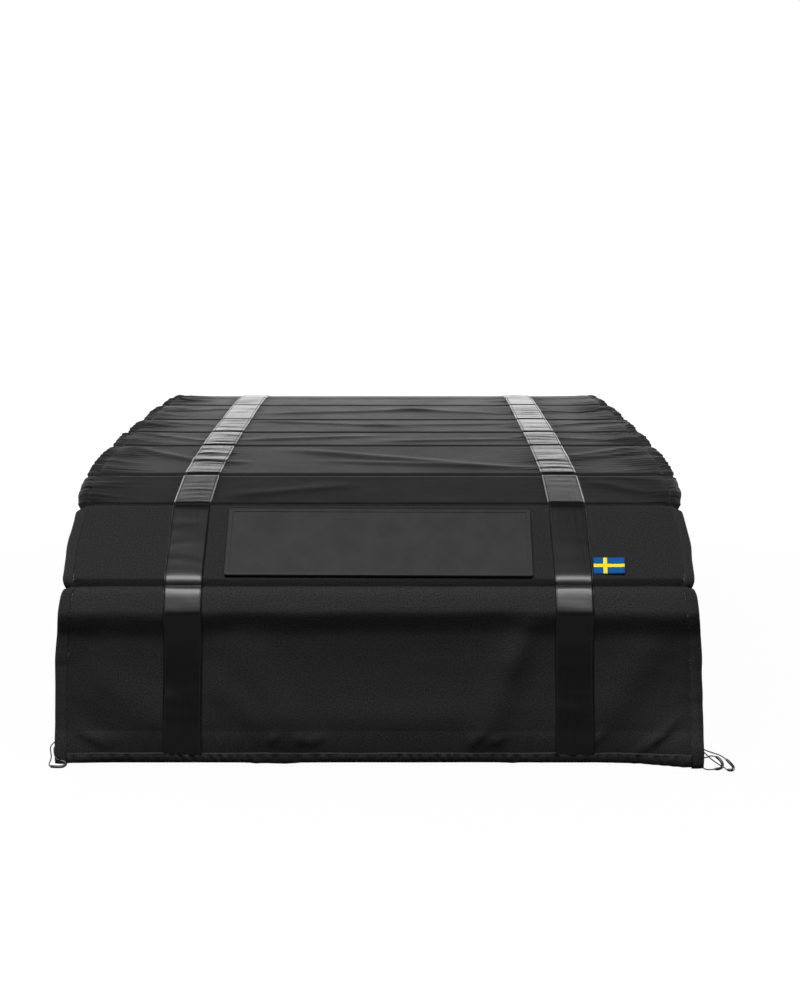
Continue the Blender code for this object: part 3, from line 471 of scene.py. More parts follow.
def badge_mask(x, s):
    """1 under the badge, where the cloth is pressed flat."""
    half = BADGE_SIZE[0] / 2
    across = 1 - smooth(half - 0.006, half + 0.010, np.abs(x - BADGE_CENTRE_X))
    rise = FRONT_FOLD + BADGE_RISE
    return across * (1 - smooth(BADGE_SIZE[1] / 2 - 0.004, BADGE_SIZE[1] / 2 + 0.006, np.abs(s - rise)))


def cover_point(x, s, lift=0.0):
    """Points of the cover's outer face at pattern places, lifted off it."""
    x, s = np.broadcast_arrays(np.asarray(x, float), np.asarray(s, float))
    moved = settled(x, s)
    out = (moved[2] + height(x, s)) * (1 - 0.9 * badge_mask(x, s)) + lift
    y, z, ny, nz = profile(s)
    real = x * half_width(s) / HALF + moved[0] * (1 - smooth(0.39, 0.40, np.abs(x)))
    return np.stack([real, y + ny * out + nz * moved[1], z + nz * out - ny * moved[1]], axis=-1)


def cover_normal(x, s):
    step = 0.0015
    a = cover_point(x + step, s) - cover_point(x - step, s)
    b = cover_point(x, s + step) - cover_point(x, s - step)
    n = np.cross(a, b)
    return n / np.linalg.norm(n, axis=-1, keepdims=True)


def link(name, bm, mat, smooth_angle=180):
    mesh = bpy.data.meshes.new(name)
    bm.to_mesh(mesh)
    bm.free()
    mesh.materials.append(mat)
    mesh.shade_smooth()
    if smooth_angle < 180:
        mesh.set_sharp_from_angle(angle=math.radians(smooth_angle))
    obj = bpy.data.objects.new(name, mesh)
    bpy.context.scene.collection.objects.link(obj)
    return obj


def points_and_faces(bm):
    """A small mesh as arrays, to be repeated."""
    bm.verts.ensure_lookup_table()
    co = np.array([v.co for v in bm.verts])
    faces = [[v.index for v in f.verts] for f in bm.faces]
    bm.free()
    return co, faces


def laid_grid(name, us, vs, place, mat, uv=None):
    """A grid whose point at (u, v) goes to place(u, v); its UV map is (u, v) in metres unless uv says."""
    bm = bmesh.new()
    bmesh.ops.create_grid(bm, x_segments=len(us) - 1, y_segments=len(vs) - 1, size=0.5)
    layer = bm.loops.layers.uv.new("cloth")
    bm.verts.ensure_lookup_table()
    co = np.array([v.co for v in bm.verts])
    i = np.rint((co[:, 0] + 0.5) * (len(us) - 1)).astype(int)
    j = np.rint((co[:, 1] + 0.5) * (len(vs) - 1)).astype(int)
    u, v = np.asarray(us)[i], np.asarray(vs)[j]
    points = place(u, v)
    mapped = np.column_stack(uv(u, v) if uv else (u, v))
    for vert, point in zip(bm.verts, points):
        vert.co = point
    for face in bm.faces:
        for loop in face.loops:
            loop[layer].uv = mapped[loop.vert.index]
    return link(name, bm, mat)


def thicken(obj, thickness, offset=-1.0):
    wall = obj.modifiers.new("thickness", "SOLIDIFY")
    wall.thickness = thickness
    wall.offset = offset
    return obj


def fine_rows(cell, near=(0.0012, 0.0028)):
    """Arc lengths with extra rows beside every seam."""
    rows = [0.0]
    for start, end in zip(FOLD_AT, FOLD_AT[1:]):
        inner = max(near)
        count = max(3, round((end - start - 2 * inner) / cell))
        middle = start + inner + (end - start - 2 * inner) * np.arange(count + 1) / count
        rows += [start + n for n in near[:-1]] + list(middle) + [end - n for n in near[:-1][::-1]] + [end]
    return np.array(rows)


# Materials

class Nodes:
    """A node tree whose nodes are made and joined by short calls."""

    def __init__(self, owner):
        owner.use_nodes = True
        self.tree = owner.node_tree

    def put(self, socket, value):
        """Joins another node's socket to this one, or sets it to a number or colour."""
        if isinstance(value, bpy.types.NodeSocket):
            self.tree.links.new(value, socket)
        else:
            socket.default_value = value

    def make(self, kind, **inputs):
        node = self.tree.nodes.new("ShaderNode" + kind)
        for name, value in inputs.items():
            self.put(node.inputs[name.replace("_", " ")], value)
        return node

    def maths(self, kind, a, b=None):
        node = self.make("Math")
        node.operation = kind
        self.put(node.inputs[0], a)
        if b is not None:
            self.put(node.inputs[1], b)
        return node.outputs[0]

    def add(self, a, b):
        return self.maths("ADD", a, b)

    def times(self, a, b):
        return self.maths("MULTIPLY", a, b)

    def less(self, a, b):
        return self.maths("SUBTRACT", a, b)

    def split(self, vector):
        return self.make("SeparateXYZ", Vector=vector).outputs

    def scaled(self, vector, factor):
        node = self.make("VectorMath")
        node.operation = "SCALE"
        self.put(node.inputs[0], vector)
        self.put(node.inputs["Scale"], factor)
        return node.outputs[0]

    def blend(self, factor, low, high):
        """A colour between two, each a tuple or another node's socket."""
        node = self.make("Mix")
        node.data_type = "RGBA"
        self.put(node.inputs["Factor"], factor)
        sides = [i for i in node.inputs if i.type == "RGBA"]
        for socket, value in zip(sides, (low, high)):
            self.put(socket, (*value, 1.0) if isinstance(value, tuple) else value)
        return [o for o in node.outputs if o.type == "RGBA"][0]

    def ramp(self, value, low, high):
        node = self.make("MapRange", Value=value, From_Min=low, From_Max=high)
        node.interpolation_type = "SMOOTHSTEP"
        return node.outputs[0]

    def place(self, by_uv, scale=(1, 1, 1)):
        """Object coordinates or the piece's UV map, in metres unless scaled."""
        source = self.make("TexCoord").outputs["UV" if by_uv else "Object"]
        return self.make("Mapping", Scale=scale, Vector=source).outputs[0]

    def noise(self, where, scale, detail, rough):
        return self.make("TexNoise", Vector=where, Scale=scale, Detail=detail, Roughness=rough).outputs[0]

    def ribs(self, along, pitch):
        return self.maths("SINE", self.times(along, 2 * math.pi / pitch))

    def weave(self, where, pitch_u, pitch_v):
        """Over-and-under threads from two crossed sines on a flat UV map."""
        u, v = self.split(where)[:2]
        return self.times(self.ribs(u, pitch_u), self.ribs(v, pitch_v))


def tint(colour, factor, lift=0.0):
    return tuple(c * factor + lift for c in colour)


def new_material(name):
    mat = bpy.data.materials.new(name)
    net = Nodes(mat)
    return mat, net, net.tree.nodes["Principled BSDF"]


def set_shader(net, shader, base, gloss, level, heights):
    """Base colour, roughness, specular level, and bumps as (height, strength, distance in metres)."""
    net.put(shader.inputs["Base Color"], base)
    net.put(shader.inputs["Roughness"], gloss)
    shader.inputs["Specular IOR Level"].default_value = level
    normal = None
    for height, strength, distance in heights:
        node = net.make("Bump", Strength=strength, Distance=distance, Height=height)
        if normal is not None:
            net.put(node.inputs["Normal"], normal)
        normal = node.outputs[0]
    net.put(shader.inputs["Normal"], normal)


THREAD_PITCH = 0.0011
PAINTED_BAND_EASE = 0.004


def coated_cloth(name, colour, by_uv=True, roughness=0.40, sheen=0.0, painted_bands=()):
    """Closely woven polyester with a thin coating: fine weave, specks of light thread, soft blotches.

    Each band in the last argument is (start, end, factor): painted light and shade, the colour scaled by
    factor between two arc lengths of its UV map.
    """
    mat, net, shader = new_material(name)
    where = net.place(by_uv)
    speck = net.noise(where, 520.0, 4.0, 0.8)
    blotch = net.noise(where, 9.0, 4.0, 0.6)
    crease = net.noise(where, 45.0, 5.0, 0.65)
    base = net.blend(net.ramp(speck, 0.30, 0.72), tint(colour, 0.55), tint(colour, 2.0, 0.004))
    worn = net.blend(net.ramp(blotch, 0.35, 0.75), base, tint(colour, 1.25))
    shade = net.blend(0.35, base, worn)
    # Painted light and shade: the colour is made lighter or darker band by band along the cover's length
    if painted_bands:
        along = net.split(where)[1]
        tone = 1.0
        for start, end, factor in painted_bands:
            band = net.less(net.ramp(along, start, start + PAINTED_BAND_EASE), net.ramp(along, end - PAINTED_BAND_EASE, end))
            tone = net.less(tone, net.times(band, 1 - factor))
        shade = net.scaled(shade, tone)
    gloss = net.add(roughness - 0.08, net.times(blotch, 0.16))
    shader.inputs["Sheen Weight"].default_value = sheen
    shader.inputs["Sheen Roughness"].default_value = 0.45
    heights = [(crease, 0.22, 0.0012), (speck, 0.30, 0.00010)]
    if by_uv:
        heights.append((net.weave(where, THREAD_PITCH, THREAD_PITCH), 0.3, 0.00005))
    set_shader(net, shader, shade, gloss, 0.003, heights)
    return mat


def webbing(name, colour, roughness):
    """Ribbed webbing: UV.x runs across in metres from the middle, UV.y along."""
    mat, net, shader = new_material(name)
    where = net.place(True)
    rib = net.ribs(net.split(where)[1], 0.0016)
    cord = net.weave(where, 0.0019, 0.0032)
    fuzz = net.noise(where, 700.0, 2.0, 0.7)
    streak = net.noise(net.place(True, (260, 9, 1)), 1.0, 3.0, 0.6)
    pattern = net.add(net.times(rib, 0.6), net.times(cord, 0.4))
    shade = net.add(net.times(pattern, 0.22), net.times(net.add(fuzz, streak), 0.5))
    base = net.blend(net.ramp(shade, 0.15, 0.85), tint(colour, 0.62), tint(colour, 1.45))
    uneven = net.add(net.times(fuzz, 0.16), net.times(streak, 0.10))
    set_shader(net, shader, base, net.add(roughness, uneven), 0.50,
               [(pattern, 0.30, 0.00005), (fuzz, 0.2, 0.00004)])
    return mat


def moulded(name, colour, roughness, grain=600.0, depth=0.0001, metallic=0.0, level=0.5):
    """Moulded plastic, rubber or enamel with a fine grain and worn patches."""
    mat, net, shader = new_material(name)
    where = net.place(False)
    fine = net.noise(where, grain, 3.0, 0.6)
    patch = net.noise(where, 30.0, 4.0, 0.6)
    base = net.blend(net.ramp(patch, 0.3, 0.75), tint(colour, 0.85), tint(colour, 1.2, 0.001))
    shader.inputs["Metallic"].default_value = metallic
    gloss = net.add(roughness - 0.05, net.times(patch, 0.12))
    set_shader(net, shader, base, gloss, level, [(fine, 0.4, depth)])
    return mat


def tab_weave(name):
    """The small woven tab: a yellow cross, off centre, on blue; UV runs 0 to 1 over it."""
    mat, net, shader = new_material(name)
    u, v = net.split(net.place(True))[:2]

    def bar(value, centre, half):
        return net.maths("LESS_THAN", net.maths("ABSOLUTE", net.less(value, centre)), half)

    cross = net.maths("MAXIMUM", bar(u, 0.375, 0.062), bar(v, 0.5, 0.098))
    colours = net.blend(cross, TAB_BLUE, TAB_YELLOW)
    fine = net.place(True, (*LABEL_SIZE, 1))
    threads = net.weave(fine, 0.0010, 0.0008)
    fuzz = net.noise(fine, 900.0, 2.0, 0.6)
    tone = net.add(0.78, net.times(net.add(threads, fuzz), 0.22))
    set_shader(net, shader, net.scaled(colours, tone), 0.65, 0.1, [(threads, 0.5, 0.0002)])
    return mat


# Painted light and shade on the cloth, from the front hem to the rear: start and end along the cover, and the
# factor on its colour. Painted bounce light low on the front and painted light on the ledge under the fold;
# painted shade at the foot of the slope under the badge, on the shoulder, on the first top panel and over the
# rear.
PAINTED_LIGHT_BANDS = [(-0.01, 0.045, 1.35), (FRONT_FOLD - 0.036, FRONT_FOLD - 0.001, 1.25),
               (FRONT_FOLD - 0.001, FRONT_FOLD + 0.013, 0.60), (BROW, SHOULDER, 0.38),
               (SHOULDER, FOLD_AT[4], 0.82), (FOLD_AT[6], REAR_DROP, 0.85)]
TAB_BLUE = (0.0010, 0.072, 0.26)
TAB_YELLOW = (0.85, 0.62, 0.004)
CLOTH = coated_cloth("black_coated_cloth", (0.0130, 0.0130, 0.0132), painted_bands=PAINTED_LIGHT_BANDS)
# The folded edges and the hems get the same painted light and shade, without the two bands at the front fold
FLAP_CLOTH = coated_cloth("folded_edge_cloth", (0.0150, 0.0150, 0.0152), roughness=0.38,
                          painted_bands=[PAINTED_LIGHT_BANDS[0], *PAINTED_LIGHT_BANDS[3:]])
WALL_CLOTH = coated_cloth("wall_cloth", (0.0190, 0.0190, 0.0193), roughness=0.50)
LINING = coated_cloth("lining_cloth", (0.050, 0.052, 0.055), by_uv=False, roughness=0.75, sheen=0.1)
BASE = coated_cloth("base_mat_cloth", (0.016, 0.016, 0.017), by_uv=False, roughness=0.7)
WEBBING = webbing("grey_webbing", (0.0012, 0.0012, 0.0013), roughness=0.22)
TAPE = webbing("woven_tape", (0.0120, 0.0120, 0.0122), roughness=0.65)
THREAD = moulded("black_thread", (0.024, 0.024, 0.025), 0.60, grain=2500.0, level=0.05)
BADGE = moulded("badge_rubber", (0.0145, 0.0145, 0.0148), 0.60, grain=1400.0, depth=0.00006, level=0.20)
RUBBER = moulded("pad_rubber", (0.020, 0.020, 0.020), 0.80, grain=900.0, depth=0.0003)
BOARD = moulded("board_plastic", (0.030, 0.030, 0.031), 0.55, grain=300.0)
PLASTIC = moulded("zip_plastic", (0.012, 0.012, 0.013), 0.35)
ENAMEL = moulded("slider_enamel", (0.020, 0.020, 0.021), 0.28, metallic=0.6)
STEEL = moulded("zinc_plated_steel", (0.52, 0.53, 0.54), 0.32, grain=500.0, metallic=1.0)
CORD = moulded("pull_cord_braid", (0.016, 0.016, 0.017), 0.40, grain=2600.0, depth=0.0002)
GRIP = moulded("grip_sleeve", (0.030, 0.031, 0.033), 0.22, grain=1200.0, depth=0.00008)
TAB = tab_weave("woven_tab")


# Camera at the photograph's viewpoint

def camera():
    data = bpy.data.cameras.new("camera")
    data.sensor_fit = "HORIZONTAL"
    data.sensor_width = 36.0
    data.lens = 99.0
    data.clip_end = 100
    obj = bpy.data.objects.new("camera", data)
    obj.location = (0.0278, -3.6113, 0.727)
    obj.rotation_euler = (math.radians(82.403), 0, 0)
    bpy.context.scene.collection.objects.link(obj)
    bpy.context.scene.camera = obj


# Cord pulls: the same routes as the solids, which start and end at the slider's bridge

CORD_STEPS = 6
PULL_LEFT = [
    (-0.3988, -0.7796, 0.0315), (-0.4060, -0.7802, 0.0322), (-0.4140, -0.7828, 0.0325),
    (-0.4215, -0.7880, 0.0318), (-0.4270, -0.7930, 0.0292), (-0.4302, -0.7962, 0.0245),
    (-0.4296, -0.7985, 0.0190), (-0.4288, -0.8000, 0.0130), (-0.4300, -0.8018, 0.0078),
    (-0.4312, -0.8045, 0.0040), (-0.4290, -0.8080, 0.0023), (-0.4240, -0.8100, 0.0021),
    (-0.4180, -0.8105, 0.0021), (-0.4125, -0.8095, 0.0024), (-0.4092, -0.8080, 0.0048),
    (-0.4112, -0.8068, 0.0078), (-0.4160, -0.8062, 0.0092), (-0.4208, -0.8055, 0.0108),
    (-0.4236, -0.8030, 0.0150), (-0.4252, -0.7995, 0.0200), (-0.4252, -0.7955, 0.0242),
    (-0.4222, -0.7900, 0.0272), (-0.4160, -0.7850, 0.0285), (-0.4070, -0.7810, 0.0288),
    (-0.3988, -0.7796, 0.0285)]
PULL_RIGHT_LOW = [
    (0.3988, -0.7796, 0.0267), (0.4065, -0.7802, 0.0245), (0.4140, -0.7825, 0.0180),
    (0.4205, -0.7860, 0.0112), (0.4260, -0.7900, 0.0090), (0.4310, -0.7935, 0.0105),
    (0.4355, -0.7965, 0.0130), (0.4415, -0.8005, 0.0128), (0.4462, -0.8050, 0.0100),
    (0.4485, -0.8100, 0.0062), (0.4475, -0.8155, 0.0032), (0.4430, -0.8200, 0.0021),
    (0.4370, -0.8225, 0.0021), (0.4310, -0.8225, 0.0014), (0.4262, -0.8190, 0.0010),
    (0.4235, -0.8135, 0.0012), (0.4225, -0.8070, 0.0028), (0.4222, -0.8005, 0.0085),
    (0.4210, -0.7945, 0.0160), (0.4165, -0.7890, 0.0225), (0.4080, -0.7830, 0.0270),
    (0.3988, -0.7796, 0.0289)]
PULL_RIGHT_HIGH = [
    (0.3988, -0.7796, 0.0333), (0.4065, -0.7806, 0.0338), (0.4140, -0.7832, 0.0305),
    (0.4215, -0.7875, 0.0240), (0.4290, -0.7920, 0.0195), (0.4380, -0.7965, 0.0172),
    (0.4470, -0.8010, 0.0148), (0.4540, -0.8055, 0.0108), (0.4590, -0.8112, 0.0068),
    (0.4618, -0.8180, 0.0036), (0.4605, -0.8245, 0.0022), (0.4568, -0.8280, 0.0021),
    (0.4532, -0.8258, 0.0021), (0.4522, -0.8195, 0.0012), (0.4518, -0.8130, 0.0009),
    (0.4490, -0.8065, 0.0014), (0.4440, -0.8005, 0.0036), (0.4385, -0.7950, 0.0066),
    (0.4330, -0.7895, 0.0106), (0.4265, -0.7850, 0.0165), (0.4190, -0.7820, 0.0232),
    (0.4085, -0.7792, 0.0290), (0.3988, -0.7796, 0.0311)]
PULLS = {"left": ("left", PULL_LEFT, 10, 16), "right_low": ("right", PULL_RIGHT_LOW, 7, 12),
         "right_high": ("right", PULL_RIGHT_HIGH, 7, 12)}


def smooth_route(points):
    route = [Vector(p) for p in points]
    ends = [2 * route[0] - route[1], *route, 2 * route[-1] - route[-2]]
    line = []
    for before, start, end, after in zip(ends, ends[1:], ends[2:], ends[3:]):
        for k in range(CORD_STEPS):
            t = k / CORD_STEPS
            line.append(0.5 * (2 * start + (end - before) * t
                               + (2 * before - 5 * start + 4 * end - after) * t ** 2
                               + (3 * start - before - 3 * end + after) * t ** 3))
    line.append(route[-1])
    return line


def tube(name, line, radii, mat, resolution=3):
    """A round piece along a line, as a curve with closed ends."""
    curve = bpy.data.curves.new(name, "CURVE")
    curve.dimensions = "3D"
    curve.bevel_depth = 1.0
    curve.bevel_resolution = resolution
    curve.use_fill_caps = True
    spline = curve.splines.new("POLY")
    spline.points.add(len(line) - 1)
    for point, place, radius in zip(spline.points, line, radii):
        point.co = (*place, 1.0)
        point.radius = radius
    curve.materials.append(mat)
    obj = bpy.data.objects.new(name, curve)
    bpy.context.scene.collection.objects.link(obj)
    return obj


def pulls():
    for name, (side, route, first, last) in PULLS.items():
        line = smooth_route(route)
        cord = tube(f"cord_loop_{name}", line, [CORD_RADIUS] * len(line), CORD)
        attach(cord, f"slider_{side}")
        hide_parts(f"pull_cord_{name}")
        covered = line[first * CORD_STEPS:last * CORD_STEPS + 1]
        count = len(covered) - 1
        radii = [GRIP_RADIUS * (0.72 + 0.28 * min(1.0, min(k, count - k) / 3)) for k in range(count + 1)]
        sleeve = tube(f"grip_sleeve_{name}", covered, radii, GRIP, 4)
        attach(sleeve, f"slider_{side}")
        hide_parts(f"pull_grip_{name}")


# Cover and what is sewn to it

def cover():
    columns = np.linspace(-HALF, HALF, 169)
    cloth = laid_grid("cover_cloth", columns, fine_rows(0.0054), cover_point, CLOTH)
    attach(cloth, "root")
    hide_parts("cover_skin")


def flap_point(sign):
    """The zip flap outside the edge stitching: q runs from 0 at the stitching to 1 at its rim."""
    def place(q, s):
        root = cover_point(np.full_like(s, sign * HALF), s)
        _, _, ny, nz = profile(s)
        loose = smooth(SHOULDER - 0.03, SHOULDER + 0.05, s) * (1 - 0.4 * smooth(REAR_DROP, LENGTH, s))
        loose = 0.20 + 0.80 * loose
        seed = 50 + sign
        pucker = 0.0013 * waves(s, seed, 0.026, count=5, spread=0.45)
        pucker = pucker + 0.0011 * waves(s, seed + 5, 0.011, count=4)
        nip = sum(bump(s, place, 0.006) for place in FOLD_AT[1:-1])
        width = from_table(FLAP_WIDTH, s) * (1 + 0.03 * waves(s, seed + 9, 0.09) - 0.16 * nip)
        drop = FLAP_DROOP * (1 - 0.65 * smooth(BROW, SHOULDER + 0.1, s)) * q ** 1.6
        out = -drop + pucker * loose * q ** 0.8 + 0.0015 * np.sin(math.pi * q) - 0.0025 * nip * q
        sway = 0.0010 * waves(s, seed + 14, 0.024, count=4) * loose * q
        point = root.copy()
        point[:, 0] += sign * width * q
        point[:, 1] += ny * out + nz * sway
        point[:, 2] += nz * out - ny * sway
        return point
    return place


def flaps():
    for side, sign in (("left", -1), ("right", 1)):
        rows = fine_rows(0.0026)
        rows[0] = -corner_drop(np.float64(sign * HALF))
        across = np.linspace(0, 1, 8)
        if sign < 0:
            across = across[::-1]
        flap = laid_grid(f"zip_flap_{side}", across, rows, flap_point(sign), FLAP_CLOTH,
                         uv=lambda q, s: (q * 0.017, s))
        thicken(flap, FLAP_THICKNESS)
        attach(flap, "root")


def strap_point(sign):
    def place(q, s):
        """q runs across the strap from -1 to 1, s along it."""
        centre = sign * strap_centre(s)
        pinch = 1 - 0.09 * sum(bump(s, fold, 0.009) for fold in FOLD_AT[3:10])
        at = to_pattern(centre + q * STRAP_WIDTH / 2 * pinch, s)
        flat = cover_point(at, s, 0.0003)
        middle = cover_point(to_pattern(centre, s), s, 0.0003)
        _, _, ny, nz = profile(s)
        panel, share = panel_share(s)
        on_top = ((panel >= 3) & (panel <= 8)).astype(float)
        own = 0.0007 * (1 - q ** 2) * np.sin(math.pi * share) ** 0.5
        wrinkle = 0.0008 * waves(s + 0.003 * q, 70 + sign, 0.050, count=3) * (0.15 + 0.85 * on_top)
        wrinkle = wrinkle * np.sin(math.pi * share) ** 0.6 * (1 - 0.5 * q ** 2)
        out = own + wrinkle + 0.15 * grooves(at, s)
        point = 0.55 * flat + 0.45 * middle
        point[:, 0] = flat[:, 0]
        point[:, 1] += ny * out
        point[:, 2] += nz * out
        return point
    return place


def straps():
    rows = fine_rows(0.0042)
    rows = rows[(rows > HEM_HEIGHT * 0.7) & (rows < LENGTH - HEM_HEIGHT * 0.7)]
    for side, sign in (("left", -1), ("right", 1)):
        strap = laid_grid(f"webbing_{side}", np.linspace(-1, 1, 17), rows, strap_point(sign), WEBBING,
                          uv=lambda q, s: (q * STRAP_WIDTH / 2, s))
        thicken(strap, STRAP_THICKNESS, 1.0)
        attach(strap, "root")
        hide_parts(f"strap_{side}")


def corner_drop(x):
    """How far the front hem sinks below the profile towards its corners."""
    return 0.0052 * smooth(0.30, 0.405, x) + 0.0015 * smooth(0.33, 0.405, -x)


def hem_point(end):
    def place(x, q):
        """q runs from 0 at the hem's lowest edge to 1 at its stitching."""
        wave = 0.0016 * waves(x, 80, 0.33, count=3) + 0.0004 * waves(x, 81, 0.05)
        low, high = 0.0008 + wave - corner_drop(x), HEM_HEIGHT + 0.0006 * waves(x, 82, 0.11)
        s = low + (high - low) * q
        s = s if end == "front" else LENGTH - s
        belly = 0.0018 * np.sin(math.pi * np.clip(q, 0, 1)) ** 0.6 * (1 + 0.45 * waves(x, 84, 0.020, count=5))
        ripple = 0.0011 * waves(x + 0.004 * q, 83, 0.015, count=5) * (1 - smooth(0.6, 1.0, q))
        return cover_point(x, s, 0.0004 + belly + ripple)
    return place


def hems():
    for end in ("front", "rear"):
        columns = np.linspace(-HALF, HALF, 330)
        if end == "rear":
            columns = columns[::-1]
        hem = laid_grid(f"hem_{end}", columns, np.linspace(0, 1, 8), hem_point(end), FLAP_CLOTH,
                        uv=lambda x, q: (x, q * HEM_HEIGHT))
        thicken(hem, LAYER["hem"])
        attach(hem, "root")
        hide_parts(f"hem_binding_{end}")


def stitch_mesh():
    """One small thread loop, 1 long and 1 thick, made once and repeated."""
    bm = bmesh.new()
    bmesh.ops.create_uvsphere(bm, u_segments=6, v_segments=4, radius=1.0,
                              matrix=Matrix.Rotation(math.pi / 2, 4, "Y"))
    return points_and_faces(bm)


STITCH, STITCH_FACES = stitch_mesh()


def stitch_row(rows, points, normals, size, keep=None):
    """Adds a thread loop between each pair of neighbouring points to the list of rows."""
    start, end, up = points[:-1], points[1:], normals[:-1]
    if keep is not None:
        chosen = keep[:-1] & keep[1:]
        start, end, up = start[chosen], end[chosen], up[chosen]
    run = end - start
    pitch = np.linalg.norm(run, axis=1, keepdims=True)
    run = run / pitch
    side = np.cross(up, run)
    side /= np.linalg.norm(side, axis=1, keepdims=True)
    up = np.cross(run, side)
    middle = (start + end) / 2 + up * size * 0.15
    loops = (middle[:, None, :] + STITCH[None, :, :1] * (pitch * 0.40 * run)[:, None, :]
             + STITCH[None, :, 1:2] * (size * side)[:, None, :]
             + STITCH[None, :, 2:] * (size * 0.8 * up)[:, None, :])
    rows.append(loops.reshape(-1, 3))


def repeated(name, copies, faces, mat, body):
    """One object from copies of a small mesh: copies holds the moved points of each copy."""
    count = copies.shape[1]
    mesh = bpy.data.meshes.new(name)
    mesh.from_pydata(copies.reshape(-1, 3).tolist(), [],
                     [[v + k * count for v in face] for k in range(len(copies)) for face in faces])
    mesh.materials.append(mat)
    mesh.shade_smooth()
    obj = bpy.data.objects.new(name, mesh)
    bpy.context.scene.collection.objects.link(obj)
    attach(obj, body)
    return obj


def sew(name, rows, mat, body="root"):
    """One object of all the thread loops in the rows."""
    return repeated(name, np.vstack(rows).reshape(-1, len(STITCH), 3), STITCH_FACES, mat, body)


def even_places(start, end, pitch):
    return np.linspace(start, end, max(2, round((end - start) / pitch)) + 1)


def stitches():
    """Top stitching along the edges, beside the seams, along the straps and over the hems."""
    for side, sign in (("left", -1), ("right", 1)):
        rows = []
        s = even_places(0.004, LENGTH - 0.004, STITCH_PITCH["edge"])
        x = np.full_like(s, sign * (HALF - 0.0022))
        stitch_row(rows, cover_point(x, s, 0.0001), cover_normal(x, s), COVER_THREAD)
        for edge in (-1, 1):
            s = even_places(HEM_HEIGHT, LENGTH - HEM_HEIGHT, STITCH_PITCH["strap"])
            q = np.full_like(s, edge * (1 - 0.0025 / (STRAP_WIDTH / 2)))
            points = strap_point(sign)(q, s)
            normals = cover_normal(to_pattern(points[:, 0], s), s)
            stitch_row(rows, points + normals * (STRAP_THICKNESS + 0.0001), normals, COVER_THREAD)
        sew(f"edge_stitching_{side}", rows, THREAD)
    rows = []
    for fold in FOLD_AT[2:-1]:
        x = even_places(-HALF + 0.004, HALF - 0.004, STITCH_PITCH["seam"])
        s = np.full_like(x, fold + 0.0030)
        free = np.abs(np.abs(x * half_width(s) / HALF) - strap_centre(s)) > STRAP_WIDTH / 2 + 0.002
        stitch_row(rows, cover_point(x, s, 0.0001), cover_normal(x, s), COVER_THREAD, free)
    for end in ("front", "rear"):
        x = even_places(-HALF + 0.003, HALF - 0.003, STITCH_PITCH["hem"])
        q = np.full_like(x, 0.86)
        s = np.full_like(x, HEM_HEIGHT if end == "front" else LENGTH - HEM_HEIGHT)
        normals = cover_normal(x, s)
        stitch_row(rows, hem_point(end)(x, q) + normals * 0.0002, normals, COVER_THREAD)
    sew("seam_stitching", rows, THREAD)


# Walls, linings, zips and mat

def inset_line(depth, radius, low):
    """The profile this deep inside, as (along, y, z): corners rounded, both ends cut off at a height."""
    points = [Vector(p) for p in FOLDS]
    ways = [(b - a).normalized() for a, b in zip(points, points[1:])]
    normals = [Vector((-way.y, way.x)) for way in ways]
    moved = []
    for i, point in enumerate(points):
        before, after = normals[max(i - 1, 0)], normals[min(i, len(normals) - 1)]
        middle = (before + after).normalized()
        moved.append(point - middle * (depth / middle.dot(before)))
    line = [moved[0]]
    for into, out, corner in zip(ways, ways[1:], moved[1:]):
        turn = into.angle(out)
        side = 1.0 if into.x * out.y - into.y * out.x > 0 else -1.0
        start = corner - into * radius * math.tan(turn / 2)
        centre = start + Vector((-into.y, into.x)) * radius * side
        for k in range(7):
            line.append(centre + Matrix.Rotation(side * turn * k / 6, 2) @ (start - centre))
    line.append(moved[-1])
    for _ in range(2):
        first, second = line[0], line[1]
        line[0] = first.lerp(second, (low - first.y) / (second.y - first.y))
        line.reverse()
    line = np.array([tuple(p) for p in line])
    along = np.concatenate([[0.0], np.cumsum(np.linalg.norm(np.diff(line, axis=0), axis=1))])
    return along, line[:, 0], line[:, 1]


def on_line(line, t):
    """Place and inward direction on an inset line at arc length t."""
    along, ys, zs = line
    y, z = np.interp(t, along, ys), np.interp(t, along, zs)
    step = 0.002
    dy = np.interp(t + step, along, ys) - np.interp(t - step, along, ys)
    dz = np.interp(t + step, along, zs) - np.interp(t - step, along, zs)
    run = np.hypot(dy, dz)
    return y, z, dz / run, -dy / run


def wall_point(sign, at, outwards):
    """u runs along the wall's outline from front to rear, v from its bottom edge to the outline."""
    line = inset_line(WALL_DEPTH, WALL_CORNER, WALL_BOTTOM)
    reach = line[1][-1] - line[1][0]

    def place(u, v):
        edge_y, edge_z, in_y, in_z = on_line(line, u * line[0][-1])
        low_y = 0.72 * edge_y + 0.28 * (line[1][0] + reach * u)
        y, z = low_y + (edge_y - low_y) * v, WALL_BOTTOM + (edge_z - WALL_BOTTOM) * v
        rim = np.abs((low_y - edge_y) * in_y + (WALL_BOTTOM - edge_z) * in_z) * (1 - v)
        free = smooth(0.006, 0.040, rim) * smooth(0.0, 0.030, z - WALL_BOTTOM)
        crown = 1 - sum(bump(y, joint, 0.020) for joint in WALL_JOINTS)
        groove = sum(bump(y, joint, 0.0030) for joint in WALL_JOINTS)
        seed = 120 + (3 if outwards > 0 else 9) + sign
        slack = 0.0007 * waves(y + 0.35 * z, seed, 0.13, count=4)
        slack = slack + 0.0004 * waves(z - 0.2 * y, seed + 1, 0.05)
        pull = sum(0.0006 * np.exp(-(np.abs(y - joint) / 0.030)) * waves(z, seed + 2, 0.018, count=4)
                   for joint in WALL_JOINTS)
        out = (0.0030 * crown + slack + pull) * free - 0.0019 * groove * smooth(0.002, 0.010, rim)
        return np.column_stack([sign * (at + outwards * np.maximum(out, -0.0019)), y, z])
    return place


